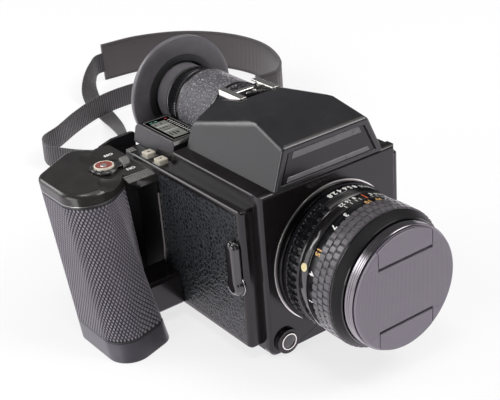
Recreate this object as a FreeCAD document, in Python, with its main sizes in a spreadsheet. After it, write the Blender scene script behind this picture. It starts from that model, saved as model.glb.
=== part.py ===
import FreeCAD, Part
import math
import os
import re

import Sketcher
from FreeCAD import Placement, Rotation, Vector

# Medium format single lens reflex film camera with a standard lens, a pinch cap and a neck strap.
# Millimetres, +Z up, the lens looks along -Y, the grip is on the -X side.
# The origin is the mouth of the tripod bush, in the plane that the camera stands on.
# Lengths whose name ends in ahead are measured forwards, along -Y, from that bush.

doc = FreeCAD.newDocument("medium_format_camera")
sheet = doc.addObject("Spreadsheet::Sheet", "sizes")

SIZES = [
    # body casting and front plate
    ("cover_half_width", 49.5),
    ("cover_thick", 7.7),
    ("block_half_width", "=cover_half_width - cover_thick"),
    ("block_floor", 3.0),
    ("terrace_height", 87.8),
    ("terrace_back", 37.0),
    ("deck_drop", 7.1),
    ("deck_height", "=terrace_height - deck_drop"),
    ("body_back", 70.5),
    ("front_ahead", 36.0),
    ("front_plate_thick", 6.0),
    ("front_corner_round", 5.0),
    ("edge_bevel", 1.6),
    ("chamber_side", 8.8),
    ("chamber_half_width", "=block_half_width - chamber_side"),
    ("chamber_floor", 12.0),
    ("screen_drop", 9.6),
    ("screen_floor", "=terrace_height - screen_drop"),
    ("screen_seat", 2.2),
    ("chamber_top", "=screen_floor - screen_seat"),
    ("film_plane", 30.9),
    ("film_bay_side", 3.8),
    ("film_bay_half_width", "=block_half_width - film_bay_side"),
    ("film_bay_floor", 6.0),
    ("film_bay_drop", 8.2),
    ("film_bay_top", "=deck_height - film_bay_drop"),
    ("screw_seat_radius", 6.0),
    # side covers
    ("cover_ahead", 30.0),
    ("cover_floor", 5.5),
    ("cover_corner_round", 3.0),
    ("panel_front_ahead", 27.0),
    ("panel_back", 40.0),
    ("far_panel_back", 65.0),
    ("panel_floor", 9.0),
    ("deck_step", 2.7),
    ("panel_top", "=deck_height - deck_step"),
    ("panel_thick", 0.8),
    # base plate and tripod bush
    ("base_side", 2.3),
    ("base_half_width", "=block_half_width - base_side"),
    ("base_back", 69.0),
    ("base_corner_round", 4.0),
    ("bush_length", 8.0),
    ("tripod_radius", 3.175),
    ("tripod_depth", 7.0),
    # lens release and its collar
    ("release_side", 9.6),
    ("release_x", "=release_side - block_half_width"),
    ("release_height", 7.2),
    ("release_radius", 4.7),
    ("collar_radius", 6.6),
    ("collar_rise", 2.0),
    ("button_gap", 0.15),
    ("release_travel", 1.5),
    # display housing, deck housings and keys
    ("display_rise", 9.6),
    ("display_top", "=deck_height + display_rise"),
    ("key_inset", 4.8),
    ("key_x", "=key_inset - cover_half_width"),
    ("display_inset", 4.3),
    ("display_outer_foot", "=key_x + display_inset"),
    ("display_side_lean", 2.4),
    ("display_outer_top", "=display_outer_foot + display_side_lean"),
    ("display_inner", -14.0),
    ("display_front", 40.0),
    ("display_back", 77.0),
    ("window_edge", 2.0),
    ("window_inner", -20.4),
    ("window_thick", 0.6),
    ("far_housing_rise", 5.3),
    ("far_housing_top", "=deck_height + far_housing_rise"),
    ("key_side", 5.4),
    ("upper_key_y", 55.0),
    ("lower_key_y", 43.4),
    ("key_rise", 2.5),
    ("key_top", "=deck_height + key_rise"),
    ("key_well_depth", 3.0),
    ("key_travel", 0.8),
    # finder housing
    ("finder_back", 36.0),
    ("finder_side", 8.4),
    ("finder_foot_half", "=block_half_width - finder_side"),
    ("finder_side_slope", 0.39),
    ("finder_front_rise", 19.2),
    ("finder_front_top", "=terrace_height + finder_front_rise"),
    ("finder_front_lean", 1.5),
    ("finder_crease_ahead", 12.4),
    ("finder_rise", 24.8),
    ("finder_roof", "=terrace_height + finder_rise"),
    ("finder_roof_back", 15.7),
    ("finder_back_half", 13.2),
    ("finder_back_rise", 20.2),
    ("finder_back_top", "=terrace_height + finder_back_rise"),
    ("shoulder_rise", 11.8),
    ("finder_back_shoulder", "=terrace_height + shoulder_rise"),
    ("finder_wall", 2.0),
    ("prism_gap", 0.8),
    ("plate_top_inset", 10.8),
    ("plate_top_half", "=finder_foot_half - plate_top_inset"),
    ("plate_foot_inset", 4.8),
    ("plate_foot_half", "=finder_foot_half - plate_foot_inset"),
    ("plate_foot_rise", 1.8),
    ("plate_foot", "=terrace_height + plate_foot_rise"),
    ("plate_height", 14.4),
    ("plate_top", "=plate_foot + plate_height"),
    ("plate_recess", 1.4),
    ("plate_thick", 0.8),
    # hot shoe
    ("shoe_front", 16.2),
    ("shoe_back", 34.4),
    ("shoe_outer_half", 12.2),
    ("shoe_sink", 2.4),
    ("shoe_bed_top", "=finder_roof - shoe_sink"),
    ("shoe_bed_thick", 1.4),
    ("shoe_slot", 2.0),
    ("shoe_lip", 3.2),
    ("shoe_metal", 0.9),
    # eyepiece
    ("eye_rise", 5.7),
    ("eye_height", "=terrace_height + eye_rise"),
    ("tube_radius", 19.0),
    ("tube_back", 66.0),
    ("tube_nose_radius", 15.0),
    ("tube_nose_back", 84.0),
    ("tube_bore_radius", 12.5),
    ("tube_ring_drop", 0.5),
    ("tube_ring_length", 2.0),
    ("dioptre_front", 68.3),
    ("dioptre_back", 76.0),
    ("dioptre_radius", 17.8),
    ("dioptre_grooves", 30),
    ("dioptre_groove_depth", 0.5),
    ("eye_glass_front", 77.0),
    ("eye_glass_thick", 3.0),
    ("cup_sleeve_front", 78.0),
    ("cup_sleeve_wall", 1.7),
    ("cup_back", 95.5),
    ("cup_hollow_radius", 18.6),
    ("cup_wall", 2.0),
    ("cup_disc_front", 88.4),
    ("cup_disc_thick", 2.4),
    ("cup_radius", 31.6),
    # screen, mirror and shutter
    ("screen_side", 3.5),
    ("screen_half_width", "=chamber_half_width - screen_side"),
    ("screen_half_depth", 23.5),
    ("screen_thick", 1.8),
    ("screen_well_gap", 0.5),
    ("screen_ledge", 2.0),
    ("mirror_pivot_y", 14.0),
    ("mirror_pivot_drop", 3.4),
    ("mirror_pivot_height", "=chamber_top - mirror_pivot_drop"),
    ("mirror_length", 42.8),
    ("mirror_side", 7.0),
    ("mirror_half_width", "=chamber_half_width - mirror_side"),
    ("mirror_thick", 1.8),
    ("mirror_pin_radius", 1.2),
    ("pin_end_gap", 0.1),
    ("gate_side", 5.0),
    ("gate_half_width", "=chamber_half_width - gate_side"),
    ("gate_half_height", 20.75),
    ("gate_thick", 2.6),
    ("curtain_gap", 0.4),
    ("curtain_thick", 0.4),
    ("curtain_edge", 2.0),
    ("drum_radius", 3.2),
    ("drum_side", 0.4),
    ("drum_half_length", "=chamber_half_width - drum_side"),
    # lens
    ("lens_height", 44.8),
    ("tube_outer_radius", 30.5),
    ("lens_tube_wall", 2.5),
    ("tube_inner_radius", "=tube_outer_radius - lens_tube_wall"),
    ("throat_play", 0.5),
    ("throat_radius", "=tube_outer_radius + throat_play"),
    ("mount_rim", 6.0),
    ("mount_radius", "=tube_outer_radius + mount_rim"),
    ("mount_bore", "=tube_inner_radius + 0.2"),
    ("mount_ahead", 40.5),
    ("ring_play", 0.3),
    ("turning_fit", 0.08),
    ("aperture_wall", 4.9),
    ("aperture_radius", "=tube_outer_radius + aperture_wall"),
    ("aperture_ahead", 51.2),
    ("aperture_ribs", 24),
    ("aperture_rib_sector", 276.0),
    ("aperture_plain_angle", 12.0),
    ("aperture_rib_depth", 0.9),
    ("index_wall", 4.1),
    ("index_radius", "=tube_outer_radius + index_wall"),
    ("index_ahead", 57.0),
    ("focus_wall", 3.7),
    ("focus_radius", "=tube_outer_radius + focus_wall"),
    ("focus_ahead", 73.0),
    ("focus_rubber_start", 61.6),
    ("focus_rubber_rise", 1.0),
    ("focus_ribs", 36),
    ("focus_rib_depth", 0.6),
    ("lens_tube_ahead", 70.0),
    ("barrel_start_ahead", 46.0),
    ("barrel_play", 0.4),
    ("filter_rise", 0.7),
    ("filter_radius", "=tube_outer_radius + filter_rise"),
    ("filter_wall", 2.2),
    ("filter_thread_radius", "=filter_radius - filter_wall"),
    ("name_ring_rise", 0.2),
    ("name_ring_radius", "=focus_radius + name_ring_rise"),
    ("name_ring_step", 0.6),
    ("name_ring_front_radius", "=filter_radius + name_ring_step"),
    ("name_ring_ahead", 79.0),
    ("barrel_front_ahead", 84.6),
    ("front_seat_wall", 3.5),
    ("front_seat_radius", "=tube_inner_radius - front_seat_wall"),
    ("front_seat_ahead", 69.0),
    ("front_glass_thick", 6.0),
    ("glass_bulge", 1.5),
    ("inner_bore_wall", 6.5),
    ("inner_bore_radius", "=tube_inner_radius - inner_bore_wall"),
    ("rear_seat_wall", 8.5),
    ("rear_seat_radius", "=tube_inner_radius - rear_seat_wall"),
    ("rear_glass_thick", 4.6),
    # lens cap
    ("cap_inset", 0.8),
    ("cap_radius", "=filter_radius - cap_inset"),
    ("cap_thick", 2.0),
    ("cap_gap", 0.25),
    ("cap_skirt_gap", 0.6),
    ("cap_skirt_radius", "=filter_thread_radius - cap_skirt_gap"),
    ("cap_skirt_wall", 1.6),
    ("cap_skirt_depth", 4.0),
    ("tab_half_width", 16.5),
    ("tab_inner", 17.3),
    ("tab_play", 0.3),
    ("tab_travel", 1.2),
    ("tab_thick", 1.2),
    ("tab_leg_half", 8.0),
    ("tab_leg_inset", 1.0),
    ("tab_leg_high", "=cap_skirt_radius - tab_leg_inset"),
    ("tab_leg_thick", 1.8),
    ("tab_leg_low", "=tab_leg_high - tab_leg_thick"),
    ("tab_leg_reach", 5.0),
    # depth of field lever
    ("lever_y", -24.0),
    ("lever_height", 40.8),
    ("lever_hub_radius", 5.0),
    ("lever_thick", 2.6),
    ("lever_tip_height", 64.5),
    ("lever_tip_half", 3.6),
    ("lever_pin_radius", 2.0),
    ("lever_pin_depth", 4.0),
    # hand grip
    ("grip_foot_band", 9.0),
    ("rubber_thick", 1.2),
    ("cap_overhang", 0.5),
    ("bridge_top", "=deck_height - deck_step"),
    ("grip_rise", 1.0),
    ("grip_top", "=bridge_top + grip_rise"),
    ("grip_cap_height", 6.0),
    ("grip_cap_foot", "=grip_top - grip_cap_height"),
    ("bridge_edge", 1.0),
    ("bridge_slope", 5.2),
    ("bridge_front", 41.0),
    ("bridge_back", 89.0),
    ("bridge_outer_x", -66.0),
    ("bridge_web_front", 62.0),
    ("bridge_web_back", 78.0),
    ("bracket_front", 28.0),
    ("bracket_back", 46.0),
    ("bracket_floor", 6.0),
    ("bracket_top", 25.0),
    ("grip_seat_x", -70.0),
    ("catch_front", 43.0),
    ("catch_back", 61.0),
    ("catch_floor", 32.0),
    ("catch_top", 64.0),
    ("catch_thick", 1.0),
    ("battery_gap", 0.4),
    ("battery_top_gap", 13.0),
    ("battery_top", "=grip_cap_foot - battery_top_gap"),
    ("battery_outer_x", -95.0),
    ("battery_inner_x", -76.0),
    ("battery_front", 14.0),
    ("battery_rear", 45.0),
    ("battery_lean", 0.42),
    ("battery_cover_edge", 2.0),
    ("battery_cover_thick", 3.0),
    # shutter button and main switch
    ("shutter_x", -66.3),
    ("shutter_y", 64.3),
    ("shutter_radius", 5.2),
    ("shutter_rise", 2.2),
    ("shutter_well", 3.4),
    ("shutter_travel", 1.6),
    ("release_socket_radius", 1.6),
    ("release_socket_depth", 2.5),
    ("shutter_dish_radius", 10.5),
    ("shutter_dish_depth", 1.8),
    ("switch_inner_radius", 5.5),
    ("switch_outer_radius", 7.6),
    ("switch_gap", 0.2),
    ("switch_thick", 1.3),
    # film back and insert
    ("back_side", 3.0),
    ("back_half_width", "=cover_half_width - back_side"),
    ("back_floor", 3.5),
    ("back_top", "=deck_height - deck_step"),
    ("back_gap", 0.5),
    ("back_thick", 8.0),
    ("back_round", 4.0),
    ("back_notch_radius", 20.5),
    ("back_panel_edge", 4.0),
    ("insert_gap", 1.5),
    ("insert_half_width", "=film_bay_half_width - insert_gap"),
    ("insert_floor", 8.0),
    ("insert_top", "=film_bay_top - insert_gap"),
    ("insert_front", 31.5),
    ("insert_wall", 2.0),
    ("pressure_plate_thick", 1.5),
    ("spool_core_radius", 5.5),
    ("spool_flange_radius", 12.2),
    ("spool_side", 4.5),
    ("spool_half_length", "=insert_half_width - spool_side"),
    ("spool_flange_thick", 1.2),
    ("spool_pin_radius", 2.0),
    ("spool_y", 55.0),
    ("takeup_drop", 16.0),
    ("takeup_height", "=film_bay_top - takeup_drop"),
    ("supply_height", 22.5),
    ("latch_height", 40.0),
    ("latch_radius", 9.0),
    ("latch_dish_depth", 3.0),
    ("latch_thick", 1.6),
    ("latch_wing_half", 1.4),
    # strap and its fittings
    ("web_width", 15.6),
    ("web_thick", 1.6),
    ("pad_width", 30.0),
    ("pad_thick", 2.4),
    ("tail_width", 6.4),
    ("tail_thick", 1.4),
    ("lug_radius", 2.2),
    ("lug_length", 2.6),
    ("far_lug_y", 64.0),
    ("lug_drop", 3.0),
    ("lug_height", "=bridge_top - lug_drop"),
    ("near_lug_out", 2.9),
    ("near_lug_x", "=-cover_half_width - near_lug_out"),
    ("clip_gap", 0.2),
    ("clip_thick", 1.8),
]

for row, (word, number) in enumerate(SIZES, start=1):
    sheet.set(f"A{row}", word)
    sheet.set(f"B{row}", str(number))
    sheet.setAlias(f"B{row}", word)
doc.recompute()

WORDS = {word for word, _ in SIZES}
ALIAS = re.compile(r"[a-z_]+")


def size(words):
    """The length that an expression in the sheet's words comes to."""
    return float(sheet.evalExpression(str(words)))


def in_sheet(words):
    """The same expression as another object has to write it."""
    return ALIAS.sub(lambda found: "sizes." * (found.group() in WORDS) + found.group(), str(words))


def tie(thing, field, words):
    """Bind one field of an object to the sheet."""
    thing.setExpression(field, in_sheet(words))


def new_body(name):
    """An empty body whose label is the node's name."""
    body = doc.addObject("PartDesign::Body", name)
    body.Label = name
    return body


def new_sketch(body, role, start):
    """A sketch on one of the body's own planes, moved out along its normal."""
    drawing = body.newObject("Sketcher::SketchObject", body.Name + "_sketch")
    plane = next(item for item in body.Origin.OriginFeatures if item.Role == role)
    drawing.AttachmentSupport = [(plane, "")]
    drawing.MapMode = "FlatFace"
    tie(drawing, "AttachmentOffset.Base.z", start)
    return drawing


def fix_point(drawing, line, end, place):
    """Hold one end of a line at a place given in the sheet's words."""
    for axis, words in zip(("DistanceX", "DistanceY"), place):
        number = drawing.addConstraint(Sketcher.Constraint(axis, -1, 1, line, end, size(words)))
        tie(drawing, f"Constraints[{number}]", words)


def draw_outline(drawing, corners):
    """A closed outline of straight lines through the corners."""
    points = [Vector(size(across), size(up), 0) for across, up in corners]
    first = drawing.GeometryCount
    count = len(points)
    for i in range(count):
        drawing.addGeometry(Part.LineSegment(points[i], points[(i + 1) % count]), False)
    for i in range(count):
        drawing.addConstraint(Sketcher.Constraint("Coincident", first + i, 2, first + (i + 1) % count, 1))
    for i, corner in enumerate(corners):
        fix_point(drawing, first + i, 1, corner)


def draw_circle(drawing, centre, radius):
    """A circle whose centre and radius are in the sheet's words."""
    place = Vector(size(centre[0]), size(centre[1]), 0)
    ring = drawing.addGeometry(Part.Circle(place, Vector(0, 0, 1), size(radius)), False)
    number = drawing.addConstraint(Sketcher.Constraint("Radius", ring, size(radius)))
    tie(drawing, f"Constraints[{number}]", radius)
    fix_point(drawing, ring, 3, centre)


def pad(body, role, start, length, corners=None, centre=None, radius=None):
    """Material along a plane's normal, from start over a length."""
    drawing = new_sketch(body, role, start)
    if corners:
        draw_outline(drawing, corners)
    else:
        draw_circle(drawing, centre, radius)
    feature = body.newObject("PartDesign::Pad", body.Name + "_pad")
    feature.Profile = drawing
    tie(feature, "Length", length)
    return feature


def cut(body, role, start, length, corners=None, centre=None, radius=None):
    """A pocket along a plane's normal, from start over a length."""
    drawing = new_sketch(body, role, start)
    if corners:
        draw_outline(drawing, corners)
    else:
        draw_circle(drawing, centre, radius)
    before = volume(body)
    feature = body.newObject("PartDesign::Pocket", body.Name + "_pocket")
    feature.Profile = drawing
    feature.Reversed = True
    tie(feature, "Length", length)
    if volume(body) >= before:
        raise ValueError(f"a pocket in {body.Name} cut nothing")
    return feature


def turned(body, corners, role="XY_Plane", axis="V_Axis", groove=False):
    """Material, or a groove, turned about one of the sketch's own axes."""
    drawing = new_sketch(body, role, "0")
    draw_outline(drawing, corners)
    kind = "PartDesign::Groove" if groove else "PartDesign::Revolution"
    feature = body.newObject(kind, body.Name + "_turned")
    feature.Profile = drawing
    feature.ReferenceAxis = (drawing, [axis])
    feature.Angle = 360
    return feature


def volume(body):
    doc.recompute()
    return body.Shape.Volume


def dress(body, kind, field, amount, chosen):
    """Round or bevel the edges of the body's tip that the test picks."""
    doc.recompute()
    base = body.Tip
    names = [f"Edge{i}" for i, edge in enumerate(base.Shape.Edges, start=1) if chosen(edge)]
    feature = body.newObject(kind, body.Name + "_dress")
    feature.Base = (base, names)
    tie(feature, field, amount)
    return feature


def rounded(body, amount, chosen):
    return dress(body, "PartDesign::Fillet", "Radius", amount, chosen)


def bevelled(body, amount, chosen):
    return dress(body, "PartDesign::Chamfer", "Size", amount, chosen)


def along(edge, axis):
    """Whether an edge is straight and runs along an axis, 0 to 2 for X to Z."""
    if edge.Curve.TypeId != "Part::GeomLine":
        return False
    return abs(abs(edge.Curve.Direction[axis]) - 1) < 1e-6


def near(first, second):
    return abs(first - second) < 1e-4


def around(body, ahead, height):
    """Put a body that is turned about its own Y axis on an axis through the camera."""
    tie(body, "Placement.Base.y", f"-({ahead})")
    tie(body, "Placement.Base.z", height)


def shape_node(name, shape):
    """A part whose shape is made by formula from the sheet's sizes."""
    feature = doc.addObject("Part::Feature", name)
    feature.Label = name
    feature.Shape = shape
    return feature


def group(name, members):
    """Identical pieces that share one node."""
    together = doc.addObject("Part::Compound", name)
    together.Links = members
    together.Label = name
    return together


def box(low_x, low_y, high_x, high_y):
    """The corners of a rectangle, in the sheet's words."""
    return [(low_x, low_y), (high_x, low_y), (high_x, high_y), (low_x, high_y)]


# Body casting and covers


def make_front_plate():
    body = new_body("front_plate")
    start = "front_ahead - front_plate_thick"
    face = -size("front_ahead")
    pad(body, "XZ_Plane", start, "front_plate_thick",
        box("-block_half_width", "0", "block_half_width", "terrace_height"))
    rounded(body, "front_corner_round", lambda e: along(e, 1) and e.CenterOfMass.z < size("block_floor"))
    bevelled(body, "edge_bevel", lambda e: near(e.BoundBox.YMin, face) and near(e.BoundBox.YMax, face))
    pad(body, "XZ_Plane", "front_ahead", "collar_rise",
        centre=("release_x", "release_height"), radius="collar_radius")
    cut(body, "XZ_Plane", start, "front_plate_thick",
        centre=("0", "lens_height"), radius="throat_radius")
    cut(body, "XZ_Plane", start, "front_plate_thick + collar_rise",
        centre=("release_x", "release_height"), radius="release_radius + button_gap")
    return body


def make_mirror_box():
    """The casting: a stepped block with the mirror chamber in front and the film bay behind."""
    body = new_body("mirror_box")
    front = "-(front_ahead - front_plate_thick)"
    pad(body, "YZ_Plane", "-block_half_width", "2 * block_half_width", [
        (front, "block_floor"), ("body_back", "block_floor"), ("body_back", "deck_height"),
        ("terrace_back", "deck_height"), ("terrace_back", "terrace_height"), (front, "terrace_height")])
    terrace = size("terrace_height")
    bevelled(body, "edge_bevel", lambda e: along(e, 1) and near(e.CenterOfMass.z, terrace))
    cut(body, "XZ_Plane", "-film_plane", "front_ahead - front_plate_thick + film_plane",
        box("-chamber_half_width", "chamber_floor", "chamber_half_width", "chamber_top"))
    cut(body, "XZ_Plane", "-body_back", "body_back - film_plane",
        box("-film_bay_half_width", "film_bay_floor", "film_bay_half_width", "film_bay_top"))
    cut(body, "XY_Plane", "screen_floor", "terrace_height - screen_floor",
        box("-screen_half_width - screen_well_gap", "-screen_half_depth - screen_well_gap",
            "screen_half_width + screen_well_gap", "screen_half_depth + screen_well_gap"))
    cut(body, "XY_Plane", "chamber_top", "screen_floor - chamber_top",
        box("-screen_half_width + screen_ledge", "-screen_half_depth + screen_ledge",
            "screen_half_width - screen_ledge", "screen_half_depth - screen_ledge"))
    cut(body, "XZ_Plane", "-body_back", "body_back - finder_back",
        centre=("0", "eye_height"), radius="tube_radius + ring_play")
    cut(body, "XY_Plane", "block_floor", "bush_length - block_floor",
        centre=("0", "0"), radius="screw_seat_radius")
    return body


def make_base_plate():
    body = new_body("base_plate")
    front = "-(front_ahead - front_plate_thick)"
    pad(body, "XY_Plane", "0", "block_floor", box("-base_half_width", front, "base_half_width", "base_back"))
    rounded(body, "base_corner_round", lambda e: along(e, 2) and e.CenterOfMass.y > 0)
    cut(body, "XY_Plane", "0", "block_floor", centre=("0", "0"), radius="screw_seat_radius")
    return body


def make_tripod_bush():
    body = new_body("tripod_bush")
    turned(body, [("tripod_radius", "0"), ("screw_seat_radius", "0"), ("screw_seat_radius", "bush_length"),
                  ("0", "bush_length"), ("0", "tripod_depth"), ("tripod_radius", "tripod_depth")],
           role="XZ_Plane")
    return body


def make_side_cover(name, side, panel_back):
    """A side shell with a sunk field for its leatherette; side is -1 on the grip's side."""
    body = new_body(name)
    start = "-cover_half_width" if side < 0 else "block_half_width"
    outer = side * size("cover_half_width")
    pad(body, "YZ_Plane", start, "cover_half_width - block_half_width",
        box("-cover_ahead", "cover_floor", "body_back", "deck_height"))
    rounded(body, "cover_corner_round",
            lambda e: along(e, 2) and near(e.CenterOfMass.x, outer) and e.CenterOfMass.y < 0)
    bevelled(body, "edge_bevel", lambda e: along(e, 1) and near(e.CenterOfMass.x, outer))
    panel_start = "-cover_half_width" if side < 0 else "cover_half_width - panel_thick"
    cut(body, "YZ_Plane", panel_start, "panel_thick",
        box("-panel_front_ahead", "panel_floor", panel_back, "panel_top"))
    return body


def fit_grip_side_cover(body):
    """Holes and sunk fields that only the cover beside the grip has."""
    cut(body, "YZ_Plane", "-cover_half_width", "catch_thick",
        box("catch_front", "catch_floor", "catch_back", "catch_top"))
    cut(body, "YZ_Plane", "-cover_half_width", "lever_pin_depth",
        centre=("lever_y", "lever_height"), radius="lever_pin_radius + turning_fit")
    for place in ("upper_key_y", "lower_key_y"):
        half = "(key_side / 2 + button_gap)"
        cut(body, "XY_Plane", "deck_height - key_well_depth", "key_well_depth",
            box(f"key_x - {half}", f"{place} - {half}", f"key_x + {half}", f"{place} + {half}"))
    return body


def fit_far_side_cover(body):
    """The strap lug on the cover away from the grip."""
    pad(body, "YZ_Plane", "cover_half_width - panel_thick", "panel_thick + lug_length",
        centre=("far_lug_y", "lug_height"), radius="lug_radius")
    return body


def make_side_panels():
    """The two leatherette panels."""
    members = []
    for side, back in ((-1, "panel_back"), (1, "far_panel_back")):
        body = new_body("panel_skin")
        start = "-cover_half_width" if side < 0 else "cover_half_width - panel_thick"
        pad(body, "YZ_Plane", start, "panel_thick",
            box("-panel_front_ahead", "panel_floor", back, "panel_top"))
        if side < 0:
            cut(body, "YZ_Plane", start, "panel_thick",
                centre=("lever_y", "lever_height"), radius="lever_pin_radius + ring_play")
        else:
            cut(body, "YZ_Plane", start, "panel_thick",
                centre=("far_lug_y", "lug_height"), radius="lug_radius + ring_play")
        members.append(body)
    return group("side_panels", members)


def make_side_catch():
    body = new_body("side_catch")
    pad(body, "YZ_Plane", "-cover_half_width", "catch_thick",
        box("catch_front", "catch_floor", "catch_back", "catch_top"))
    bevelled(body, "catch_thick / 2", lambda e: near(e.BoundBox.XMax, -size("cover_half_width")))
    return body


# Deck: display, far housing and keys


def clear_of_tube(body, back):
    """Cut a deck housing back from the eyepiece tube that stands in it."""
    cut(body, "XZ_Plane", f"-{back}", f"{back} - display_front",
        centre=("0", "eye_height"), radius="tube_radius + ring_play")


def make_display_housing():
    body = new_body("display_housing")
    pad(body, "XZ_Plane", "-display_back", "display_back - display_front", [
        ("display_outer_foot", "deck_height"), ("display_inner", "deck_height"),
        ("display_inner", "display_top"), ("display_outer_top", "display_top")])
    top = size("display_top")
    bevelled(body, "edge_bevel", lambda e: along(e, 0) and near(e.CenterOfMass.z, top))
    clear_of_tube(body, "display_back")
    cut(body, "XY_Plane", "display_top - window_thick", "window_thick",
        box("display_outer_top + window_edge", "display_front + edge_bevel + window_edge",
            "window_inner", "display_back - edge_bevel - window_edge"))
    return body


def make_display_window():
    body = new_body("display_window")
    pad(body, "XY_Plane", "display_top - window_thick", "window_thick",
        box("display_outer_top + window_edge", "display_front + edge_bevel + window_edge",
            "window_inner", "display_back - edge_bevel - window_edge"))
    return body


def make_far_top_housing():
    body = new_body("far_top_housing")
    pad(body, "XZ_Plane", "-body_back", "body_back - display_front", [
        ("-display_inner", "deck_height"), ("-display_outer_foot", "deck_height"),
        ("-display_outer_top", "far_housing_top"), ("-display_inner", "far_housing_top")])
    top = size("far_housing_top")
    bevelled(body, "edge_bevel", lambda e: along(e, 0) and near(e.CenterOfMass.z, top))
    clear_of_tube(body, "body_back")
    return body


def make_key(name, place):
    body = new_body(name)
    half = "key_side / 2"
    foot = "deck_height - key_well_depth + key_travel + button_gap"
    pad(body, "XY_Plane", foot, f"key_top - ({foot})",
        box(f"key_x - {half}", f"{place} - {half}", f"key_x + {half}", f"{place} + {half}"))
    rounded(body, "edge_bevel / 4", lambda e: near(e.BoundBox.ZMin, size("key_top")))
    return body


# Finder


def solid_from(points, faces):
    """A closed solid with flat faces; each face lists its corners by their place in points."""
    made = [Part.Face(Part.makePolygon([points[i] for i in face] + [points[face[0]]])) for face in faces]
    solid = Part.Solid(Part.Shell(made))
    if solid.Volume < 0:
        solid.reverse()
    return solid


def finder_form(inset, floor):
    """The faceted finder, drawn in from its outside by inset, standing on floor."""
    foot = size("terrace_height")

    def side(height):
        return size("finder_foot_half") - size("finder_side_slope") * (height - foot) - inset

    roof = size("finder_roof") - inset
    front_top = size("finder_front_top") - inset
    shoulder = size("finder_back_shoulder") - inset
    back_top = size("finder_back_top") - inset
    front = -size("front_ahead") + inset
    lean = size("finder_front_lean")
    crease = -size("finder_crease_ahead")
    back = size("finder_back") - inset
    back_half = size("finder_back_half")
    first = Vector(side(roof), crease, roof)
    second = Vector(side(shoulder), back, shoulder)
    third = Vector(back_half, back, back_top)
    normal = (second - first).cross(third - first)
    roof_back = size("finder_roof_back")
    roof_half = first.x - normal.y / normal.x * (roof_back - crease)
    rear = Vector(roof_half, roof_back, roof)
    right = [Vector(side(floor), front, floor), Vector(side(floor), back, floor),
             Vector(side(front_top), front + lean, front_top), first, rear, third, second]
    points = right + [Vector(-p.x, p.y, p.z) for p in right]
    count = len(right)
    sides = [(0, 1, 6, 3, 2), (3, 6, 5, 4)]
    faces = sides + [tuple(i + count for i in reversed(face)) for face in sides]
    across = [(0, 2), (2, 3), (3, 4), (4, 5), (5, 6), (6, 1), (1, 0)]
    faces += [(a, b, b + count, a + count) for a, b in across]
    return solid_from(points, faces)


def plate_form(depth, thick):
    """The slanted plate on the finder's front, sunk by depth and thick enough to reach back out."""
    foot = size("terrace_height")
    rise = size("finder_front_top") - foot
    lean = size("finder_front_lean")

    def on_face(across, height):
        return Vector(across, -size("front_ahead") + lean * (height - foot) / rise, height)

    out = Vector(0, -rise, lean).normalize()
    low, high = size("plate_foot"), size("plate_top")
    low_half, high_half = size("plate_foot_half"), size("plate_top_half")
    corners = [on_face(-low_half, low), on_face(low_half, low), on_face(high_half, high), on_face(-high_half, high)]
    corners = [corner - out * depth for corner in corners]
    return Part.Face(Part.makePolygon(corners + corners[:1])).extrude(out * thick)


def shoe_seat(room):
    """The space over the sloping roof that the shoe's bed takes, with some room below and beside it."""
    half = size("shoe_outer_half") + room
    corner = Vector(-half, size("finder_roof_back") - room, size("shoe_bed_top") - size("shoe_bed_thick") - room)
    return Part.makeBox(2 * half, size("finder_back"), size("finder_roof"), corner)


def make_finder_housing():
    wall = size("finder_wall")
    shell = finder_form(0, size("terrace_height")).cut(finder_form(wall, size("terrace_height")))
    recess = size("plate_recess")
    shell = shell.cut(plate_form(recess, 2 * recess))
    return shape_node("finder_housing", shell.cut(shoe_seat(0)))


def make_name_plate():
    return shape_node("name_plate", plate_form(size("plate_recess"), size("plate_thick")))


def make_finder_prism():
    gap = size("prism_gap")
    prism = finder_form(size("finder_wall") + gap, size("terrace_height") + gap)
    return shape_node("finder_prism", prism.cut(shoe_seat(gap)))


def make_focusing_screen():
    body = new_body("focusing_screen")
    pad(body, "XY_Plane", "screen_floor", "screen_thick",
        box("-screen_half_width", "-screen_half_depth", "screen_half_width", "screen_half_depth"))
    return body


def make_shoe_bed():
    body = new_body("shoe_bed")
    pad(body, "XY_Plane", "shoe_bed_top - shoe_bed_thick", "shoe_bed_thick",
        box("-shoe_outer_half", "shoe_front", "shoe_outer_half", "shoe_back"))
    return body


def make_shoe_rails():
    """Two folded rails whose lips hold a flash foot down."""
    members = []
    for side in ("-", ""):
        body = new_body("rail")
        wall = f"{side}(shoe_outer_half - shoe_metal)"
        lip_top = "shoe_bed_top + shoe_slot + shoe_metal"
        pad(body, "XZ_Plane", "-shoe_back", "shoe_back - shoe_front", [
            (f"{side}shoe_outer_half", "shoe_bed_top"), (f"{side}shoe_outer_half", lip_top),
            (f"{side}(shoe_outer_half - shoe_lip - shoe_metal)", lip_top),
            (f"{side}(shoe_outer_half - shoe_lip - shoe_metal)", "shoe_bed_top + shoe_slot"),
            (wall, "shoe_bed_top + shoe_slot"), (wall, "shoe_bed_top")])
        members.append(body)
    return group("shoe_rails", members)


# Eyepiece


def make_eyepiece_tube():
    body = new_body("eyepiece_tube")
    ring = "tube_radius - tube_ring_drop"
    turned(body, [
        ("tube_bore_radius", "finder_back"), ("tube_radius", "finder_back"), ("tube_radius", "tube_back"),
        (ring, "tube_back"), (ring, "tube_back + tube_ring_length"),
        ("tube_nose_radius", "tube_back + tube_ring_length"), ("tube_nose_radius", "tube_nose_back"),
        ("tube_bore_radius", "tube_nose_back")])
    around(body, "0", "eye_height")
    return body


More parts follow.
